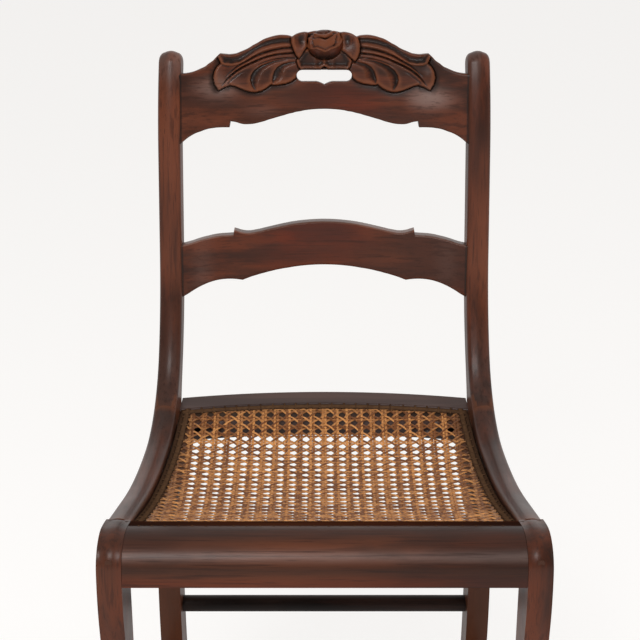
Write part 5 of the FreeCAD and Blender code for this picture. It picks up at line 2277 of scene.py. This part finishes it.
CREST_TOP = [
    [(170, 72.6), (158, 73.3), (149, 74.2), (144, 75.4), (140, 76.9), (136, 78.7), (131, 81), (127, 84.2),
     (122, 87.7), (118, 92), (114.5, 95.2)],
    [(114.5, 95.2), (109, 94.6), (105, 94.2), (101, 94.5), (96, 95.4), (92, 97.1), (87.5, 98.9),
     (83, 101.1), (79, 103.7), (74, 106.3), (70, 108.7), (66, 110.8), (61, 112.5), (57, 113.7),
     (52.5, 114.7), (48, 115.2), (44, 115.1), (39, 114.5), (35.5, 113.4)],
    [(35.5, 113.4), (31, 116.2), (26, 117.8), (22, 118.4), (17.5, 118)],
    [(17.5, 118), (13, 119), (0, 119.6), (-13, 119)],
]
CREST_LOW = [
    [(170, -10), (158, -3.6), (154, 0), (149, 3.9), (145, 6.3), (141, 8.3), (136, 10), (132, 11.5),
     (128, 12.7), (123, 13.5), (119, 14), (114.5, 14.2), (110, 14.3), (104.6, 14.2)],
    [(104.6, 14.2), (103.4, 20.9)],
    [(103.4, 20.9), (97, 19.8), (92.5, 18.3), (88, 17.5), (84, 17.5), (79, 17.8), (75, 18.5), (70.5, 19.6),
     (66, 20.8), (62, 22.2), (57, 23.6), (53, 24.8), (48.5, 26.1), (44, 27.3), (40, 28.6), (35, 29.7),
     (31, 30.8), (26, 31.6), (22, 32.5), (17.6, 33.1), (0, 34.1), (-17.6, 33.1)],
]
LEAF_OUTLINE = [
    (117, 92.8), (115.3, 88.3), (113.6, 84.8), (117.6, 80.9), (120.6, 75.5), (121.9, 68.8), (120.4, 61.6),
    (116, 54.6), (110, 58), (103.5, 60.4), (98, 59.3), (92.5, 56.8), (87.1, 54.6), (81.1, 52.8),
    (75.6, 52.4), (69, 54.1), (63.5, 57.0), (58.6, 61.0), (56, 60.0), (50.4, 60.6), (42.7, 61.8),
    (36.1, 64.2), (31.5, 67.8), (29.2, 72.8), (26.4, 77.6), (22, 135), (113, 135),
]
LEAF_CUTS = [
    Cut(CutShape.HOLLOW, ((111.5, 92.6, 1.8, 3.2), (108, 89.2, 2.9, 4.2), (101.6, 88.6, 3.0, 4.6),
                          (94, 90, 3.0, 4.8), (85.8, 94.6, 2.8, 4.4), (77.6, 100, 2.6, 3.7),
                          (68.8, 104.5, 2.4, 3.6), (57.9, 107.8, 2.4, 3.7), (46.9, 109.4, 2.3, 3.7),
                          (33, 109.8, 2.2, 3.5))),
    Cut(CutShape.RIDGE, ((116.6, 91.6, 1.5, 1.5), (112.7, 85.2, 1.9, 1.8), (108.2, 83.2, 1.7, 2.0),
                         (101.7, 83, 1.2, 2.2), (94.9, 84, 1.0, 2.2), (88.6, 87, 0.9, 2.2),
                         (79.8, 92.6, 0.9, 2.1), (68.8, 98.4, 0.9, 2.1), (57.9, 101.6, 0.9, 2.0),
                         (46.9, 103.7, 0.9, 2.0), (33, 104.8, 0.8, 2.0))),
    Cut(CutShape.LINE, ((108.5, 69.8, 0.2, 0.9), (101.7, 76.5, 1.0, 1.2), (94, 82.2, 1.5, 1.4),
                        (84.2, 87.5, 1.8, 1.5), (75.4, 92.3, 1.9, 1.6), (66.7, 95.7, 1.9, 1.6),
                        (57.9, 98.3, 1.9, 1.6), (46.9, 100.5, 1.8, 1.6), (33, 101.6, 1.6, 1.6))),
    Cut(CutShape.RIDGE, ((107.2, 67.8, 0.6, 1.2), (101.7, 73.9, 0.8, 1.4), (94, 79.7, 0.8, 1.5),
                         (84.2, 84.9, 0.8, 1.6), (74.3, 89.7, 0.8, 1.6), (64.5, 93.3, 0.8, 1.6),
                         (54.6, 95.9, 0.7, 1.5), (33, 98.5, 0.6, 1.5))),
    Cut(CutShape.LINE, ((112.5, 60, 0.6, 1.0), (106.1, 68.1, 2.4, 1.3), (101.7, 72.1, 2.9, 1.5),
                        (95.2, 77.1, 3.0, 1.6), (88.6, 80.8, 3.0, 1.6), (79.8, 84.7, 3.0, 1.6),
                        (70, 89, 2.8, 1.6), (62.3, 91.6, 2.6, 1.5), (52.4, 93.9, 2.4, 1.4),
                        (33, 95.6, 2.2, 1.4))),
    Cut(CutShape.RIDGE, ((109, 61.2, 0.5, 1.0), (101.7, 69.4, 0.9, 1.2), (95.2, 74.3, 0.8, 1.2),
                         (87.5, 78.4, 0.4, 1.2), (79.8, 82.2, 0.0, 1.2))),
    Cut(CutShape.LINE, ((106.5, 61.2, 0.3, 0.9), (100.4, 67.4, 0.9, 1.1), (93.6, 72.6, 0.5, 1.1),
                        (86, 76.6, 0.0, 1.1))),
    Cut(CutShape.LINE, ((77.7, 79.4, 0.0, 1.0), (70, 84.2, 0.8, 1.2), (62.3, 86.9, 1.2, 1.2),
                        (52.5, 89.4, 1.3, 1.3), (41.5, 90.4, 1.3, 1.3), (31.6, 90, 1.0, 1.3))),
    Cut(CutShape.SCOOP, ((77.6, 54.6, 0.8, 5), (81, 60.4, 2.6, 9), (82.3, 66.4, 3.2, 12),
                         (81.2, 71.8, 3.3, 12), (77.5, 77.3, 3.1, 11), (71.1, 82.1, 2.5, 8),
                         (63.4, 85.4, 1.8, 6), (54.7, 88.3, 1.2, 4.5), (42.6, 89.7, 0.5, 3))),
    Cut(CutShape.SCOOP, ((58.3, 61.9, 1.0, 6), (58.2, 66.3, 2.6, 10), (57.3, 70.9, 3.2, 13),
                         (55.6, 76.1, 3.3, 13), (52, 81, 2.9, 11), (46.4, 84.6, 2.2, 8),
                         (38.2, 86.7, 1.3, 5.5), (30.5, 87.4, 0.6, 4))),
]
CALYX_OUTLINE = [
    (-2, 80.6), (0.6, 80.8), (3.9, 78.6), (9, 78.4), (15, 78.5), (21, 78.6), (26, 78), (28.4, 80.5),
    (30.6, 87.2), (24, 98), (10, 103), (-2, 103),
]
PETAL_OUTLINES = (
    (-1, [(36.5, 113.1), (34.9, 119), (30, 125), (20.6, 125), (17.3, 117.2), (18.4, 113.1), (19, 108.2),
          (17.9, 103.3), (19.5, 101.1), (22.3, 96.8), (25, 92.4), (27.8, 88.9), (31.6, 93.5), (34.3, 100.1),
          (36.4, 106.5)]),
    (1, [(17.1, 125), (28.6, 125), (35.1, 118), (37.9, 109.9), (39.6, 103.3), (39.1, 96.8), (36.9, 90.3),
         (33.6, 85.9), (28.7, 90.3), (23.2, 95.2), (18.3, 98.7)]),
)

# Lines of the rose, in shares of its half width and half height

ROSE_BELLY_RIM = [(-1.0, -0.05), (-0.93, -0.22), (-0.69, -0.27), (-0.46, -0.22), (-0.28, -0.30),
                  (0.01, -0.43), (0.22, -0.30), (0.43, -0.22), (0.72, -0.10), (0.90, 0.12), (1.0, 0.3)]
ROSE_SLIT = [(-1.0, 0.3), (-0.75, 0.23), (-0.46, 0.30), (-0.22, 0.27), (-0.01, 0.21), (0.19, 0.27),
             (0.49, 0.42), (0.63, 0.53), (1.0, 0.7)]
ROSE_LIP = [(-1.0, 0.6), (-0.69, 0.57), (-0.46, 0.48), (-0.16, 0.43), (0.16, 0.46), (0.37, 0.60),
            (0.6, 0.78), (1.0, 0.9)]
ROSE_CAP = [(-1.0, 0.6), (-0.6, 0.60), (-0.28, 0.57), (0.07, 0.59), (0.25, 0.69), (0.5, 0.85), (1.0, 0.95)]
ROSE_COLLAR_LEFT = [(-0.4, -0.66), (-0.23, -0.72), (-0.07, -0.81), (0.33, -0.88), (0.60, -0.83),
                    (0.8, -0.70)]
ROSE_COLLAR_RIGHT = [(-0.4, 0.40), (-0.2, 0.52), (0.0, 0.69), (0.40, 0.79), (0.60, 0.74), (0.8, 0.60)]
ROSE_FOLD = [(0.20, 0.86), (0.36, 0.72), (0.48, 0.66), (0.62, 0.64)]


@dataclass
class MiddleSlat(BowedBoard):
    """The scalloped slat halfway up the back."""

    base_depth: float = 386.45
    base_height: float = 576.0
    lean: float = 0.0
    thickness: float = 16.0
    half: float = 158.9
    front_ease: float = 2.2
    back_ease: float = 2.6
    step: float = 1.6
    front_rows: tuple[int, int] = (8, 8)
    back_rows: tuple[int, int] = (3, 3)
    corners: tuple[float, ...] = (101.4, 100.3, 91.5)
    # Painted reflection on the top wall, and painted sheen towards the ends.
    top_painted_sheen: float = 2.0
    red: Band = Band(-10.0, 60.0)
    painted_sheen: Band = Band(135.0, 18.0)
    red_and_sheen_shares: Pair = (1.1, -0.35)

    def top(self, x: Array) -> Array:
        """Height of the top edge."""
        return drawn(x, SLAT_TOP) - self.base_height

    def low(self, x: Array) -> Array:
        """Height of the lower edge."""
        return drawn(x, SLAT_LOW) - self.base_height

    def warmth(self, x: Array, z: Array) -> Array:
        """Redder in the middle, with painted sheen towards the ends."""
        red_share, haze_share = self.red_and_sheen_shares
        return red_share * self.red.at(x) + haze_share * self.painted_sheen.at(np.abs(x))

    def dress(self) -> None:
        """Make the slat."""
        wood = MAHOGANY.material(Grain.ACROSS)
        slat = finished_piece(self.board(), "scalloped_middle_slat", [wood], smooth_angle=40.0)
        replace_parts(slat, "middle_slat")


# Outlines of the middle slat, as half width and height above the floor

SLAT_TOP = [
    [(170, 634.6), (155, 636.6), (151, 637.4), (147, 638.4), (142.5, 639.8), (138, 641.1), (133.6, 642.2),
     (129, 643.1), (124.7, 644), (120, 644.7), (116, 645.1), (111.5, 645.3), (107, 645.4), (101.4, 645.6)],
    [(101.4, 645.6), (100.3, 651.2)],
    [(100.3, 651.2), (96.5, 650), (93.6, 648.9), (89, 647.8), (85, 647.4), (80, 647.7), (76, 648.4),
     (71, 649.3), (67, 650.3), (62.5, 651.3), (58, 652.3), (53.5, 653.3), (49, 654.3), (44.6, 655.2),
     (40, 656.1), (36, 656.8), (31, 657.5), (27, 658), (22, 658.5), (13, 659.2), (0, 659.6), (-13, 659.2)],
]
SLAT_LOW = [
    [(170, 570), (158, 576.5), (152.4, 579.5), (148, 582.3), (143.4, 585), (139, 587.3), (134.5, 589.3),
     (130, 591.1), (125.5, 592.5), (121, 593.6), (116.6, 594.3), (107.7, 594.8), (98.7, 594.2),
     (91.5, 593.0)],
    [(91.5, 593.0), (85, 595.4), (81, 596.8), (76, 598.2), (72, 599.4), (67, 600.6), (63, 601.7),
     (58, 602.8), (54, 603.8), (49, 604.7), (45, 605.4), (40, 606.1), (36, 606.8), (27, 608), (0, 609.5),
     (-27, 608)],
]


# Seat frame behind and beside the cane

@dataclass
class SeatFrame:
    """The rear seat rail and the rails beside the cane, shaped from the CAD nodes."""

    sides: SideMember
    ledge_drop: float = 2.0
    up_slope: float = 0.5
    taper: float = 13.0
    taper_depth: Onset = Onset(70.0, 260.0)
    taper_inset: float = 20.0

    def dress_rear_rail(self) -> None:
        """Make the rear seat rail, with its ledge in bare dark wood."""
        finishes = [wood.material(Grain.ACROSS) for wood in (REAR_WOOD, INNER_WOOD)]
        piece = finished_piece(merged_copy("rear_seat_rail"), "shaped_rear_rail", finishes)
        faces = [face for face in piece.data.polygons if face.normal.z > self.up_slope]
        top = max(face.center.z for face in faces)
        for face in faces:
            face.material_index = int(face.center.z < top - self.ledge_drop * MM)
        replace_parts(piece, "rear_seat_rail")

    def dress_cane_rails(self) -> None:
        """Make the rails beside the cane, which narrow towards the back as the real ones do."""
        for side in ("left", "right"):
            mesh = merged_copy(f"{side}_cane_rail")
            for vert in mesh.verts:
                inwards = self.sides.inner_half(vert.co.y) - abs(vert.co.x)
                if inwards > self.taper_inset:
                    vert.co.x += math.copysign(self.taper * self.taper_depth.at(vert.co.y), vert.co.x)
            piece = finished_piece(mesh, f"shaped_{side}_cane_rail", [INNER_WOOD.material(Grain.DEEP)])
            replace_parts(piece, f"{side}_cane_rail")

    def dress(self) -> None:
        """Make the three rails."""
        self.dress_cane_rails()
        self.dress_rear_rail()


# Finishes on the CAD nodes that stay

def dress_nodes() -> None:
    """Give the CAD nodes that are shown as they are their finish."""
    blocks, dowels = INNER_WOOD.material(Grain.DEEP), DOWEL_WOOD.material(Grain.DEEP)
    deep_rods, wide_rods = (STRETCHER_WOOD.material(grain) for grain in (Grain.DEEP, Grain.ACROSS))
    finishes = {"corner_block": blocks, "side_stretcher": deep_rods, "front_stretcher": wide_rods,
                "rear_stretcher": wide_rods, "rail_dowels": dowels}
    for name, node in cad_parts.items():
        finish = finishes.get(name.removeprefix("left_").removeprefix("right_"))
        if finish is None or node.hide_render:
            continue
        for slot in node.material_slots:
            slot.material = finish
        log.info("%s: CAD node dressed", name)


# Studio

@dataclass(frozen=True)
class Lamp:
    """A rectangular soft light, with its places and sizes in metres and its power in watts."""

    name: str
    place: Triple
    aim: Triple
    size: Pair
    power: float
    mirrored: bool = False

    def build(self) -> None:
        """Hang the lamp, which polished wood shows only if it is mirrored."""
        light = bpy.data.lights.new(self.name, "AREA")
        light.shape = "RECTANGLE"
        light.size, light.size_y = self.size
        light.energy = self.power
        lit = bpy.data.objects.new(self.name, light)
        lit.location = self.place
        lit.rotation_euler = (Vector(self.aim) - Vector(self.place)).to_track_quat("-Z", "Y").to_euler()
        lit.visible_glossy = self.mirrored
        bpy.context.scene.collection.objects.link(lit)


@dataclass
class Studio:
    """Floor, light and the camera that takes the photograph's view.

    The camera's place is in millimetres, its sight and the floor in metres.
    """

    focal_px: float = 2150.0
    frame_px: float = 640.0
    sensor: float = 36.0
    sight: float = 60.0
    pitch: float = 17.0
    camera_height: float = 1256.2
    camera_distance: float = 1922.4
    camera_x: float = -4.7
    floor_half: float = 14.0
    floor_tint: Colour = (1.0, 0.985, 0.97)
    floor_albedo: float = 0.36
    floor_glow: float = 0.70
    floor_mirrored_share: float = 0.5
    world_tint: Colour = (1.0, 0.99, 0.98)
    world_span: Pair = (-0.7, 0.95)
    world_mirrored: Pair = (0.08, 0.95)
    world_light: float = 0.5
    world_shown: float = 0.90
    lamps: tuple[Lamp, ...] = (
        Lamp("front_softbox", (-0.5, -3.2, 2.7), (0, 0, 0.55), (2.4, 1.6), 72),
        Lamp("window", (-0.7, -3.1, 2.5), (0, 0, 0.55), (1.3, 1.0), 34, mirrored=True),
        Lamp("side_softbox", (3.0, -1.0, 1.8), (0, 0, 0.5), (1.6, 1.6), 28),
    )

    def camera(self) -> None:
        """Place the camera."""
        lens = bpy.data.cameras.new("photograph")
        lens.sensor_width = self.sensor
        lens.lens = self.sensor * self.focal_px / self.frame_px
        lens.clip_end = self.sight
        seen = bpy.data.objects.new("photograph", lens)
        seen.location = (self.camera_x * MM, FRONT - self.camera_distance * MM, self.camera_height * MM)
        seen.rotation_euler = (math.radians(90 - self.pitch), 0, 0)
        bpy.context.scene.collection.objects.link(seen)
        bpy.context.scene.camera = seen

    def floor_finish(self) -> Material:
        """A dull pale floor that glows towards the camera, and dimmer in what polished wood shows.

        Returns:
            The node material.
        """
        made, nodes = new_material("pale_floor")
        nodes.tree.nodes.clear()
        colour = tuple(self.floor_albedo * part for part in self.floor_tint)
        base = nodes.node("BsdfDiffuse", {"Color": (*colour, 1)})
        path = nodes.node("LightPath")
        mirrored = nodes.maths("MULTIPLY", path.outputs["Is Glossy Ray"], self.floor_mirrored_share)
        shown = nodes.maths("MAXIMUM", path.outputs["Is Camera Ray"], mirrored)
        glow = nodes.node("Emission", {"Color": (*self.floor_tint, 1),
                                       "Strength": nodes.maths("MULTIPLY", shown, self.floor_glow)})
        both = nodes.node("AddShader", {0: base.outputs["BSDF"], 1: glow.outputs["Emission"]})
        nodes.node("OutputMaterial", {"Surface": both.outputs["Shader"]})
        return made

    def floor(self) -> None:
        """Lay the floor, which keeps the shadow."""
        mesh = bmesh.new()
        bmesh.ops.create_grid(mesh, x_segments=4, y_segments=4, size=self.floor_half)
        data = bpy.data.meshes.new("floor")
        mesh.to_mesh(data)
        mesh.free()
        data.materials.append(self.floor_finish())
        ground = bpy.data.objects.new("floor", data)
        bpy.context.scene.collection.objects.link(ground)

    def world(self) -> None:
        """A white surrounding, which polished wood shows bright behind the chair and dim before it."""
        world = bpy.data.worlds.new("studio")
        bpy.context.scene.world = world
        world.use_nodes = True
        nodes = NodeMaker(world.node_tree)
        path = nodes.node("LightPath")
        split = nodes.node("SeparateXYZ", {"Vector": nodes.node("TexCoord").outputs["Generated"]})
        behind = nodes.node("MapRange", {
            "Value": split.outputs["Y"], "From Min": self.world_span[0], "From Max": self.world_span[1],
            "To Min": self.world_mirrored[0], "To Max": self.world_mirrored[1]})
        reflected = nodes.node("Mix", {"Factor": path.outputs["Is Glossy Ray"], "A": self.world_light,
                                       "B": behind.outputs["Result"]})
        shown = nodes.node("Mix", {"Factor": path.outputs["Is Camera Ray"], "A": reflected.outputs["Result"],
                                   "B": self.world_shown})
        nodes.feed(world.node_tree.nodes["Background"],
                   {"Color": (*self.world_tint, 1), "Strength": shown.outputs["Result"]})

    def build(self) -> None:
        """Make the whole studio."""
        self.camera()
        self.floor()
        self.world()
        for lamp in self.lamps:
            lamp.build()
        bpy.context.scene.view_settings.view_transform = "Standard"


def main() -> None:
    """Build the chair's pieces in order and light them."""
    logging.basicConfig(level=logging.INFO, format="%(name)s: %(message)s")
    Studio().build()
    sides = SideMember()
    seat = CanedSeat(sides, SeatLine())
    for part in (sides, FrontRail(sides), CrestRail(), MiddleSlat(), seat, Binders(seat), SeatFrame(sides)):
        part.dress()
        log.info("%s: done", type(part).__name__)
    dress_nodes()


if __name__ == "__main__":
    main()
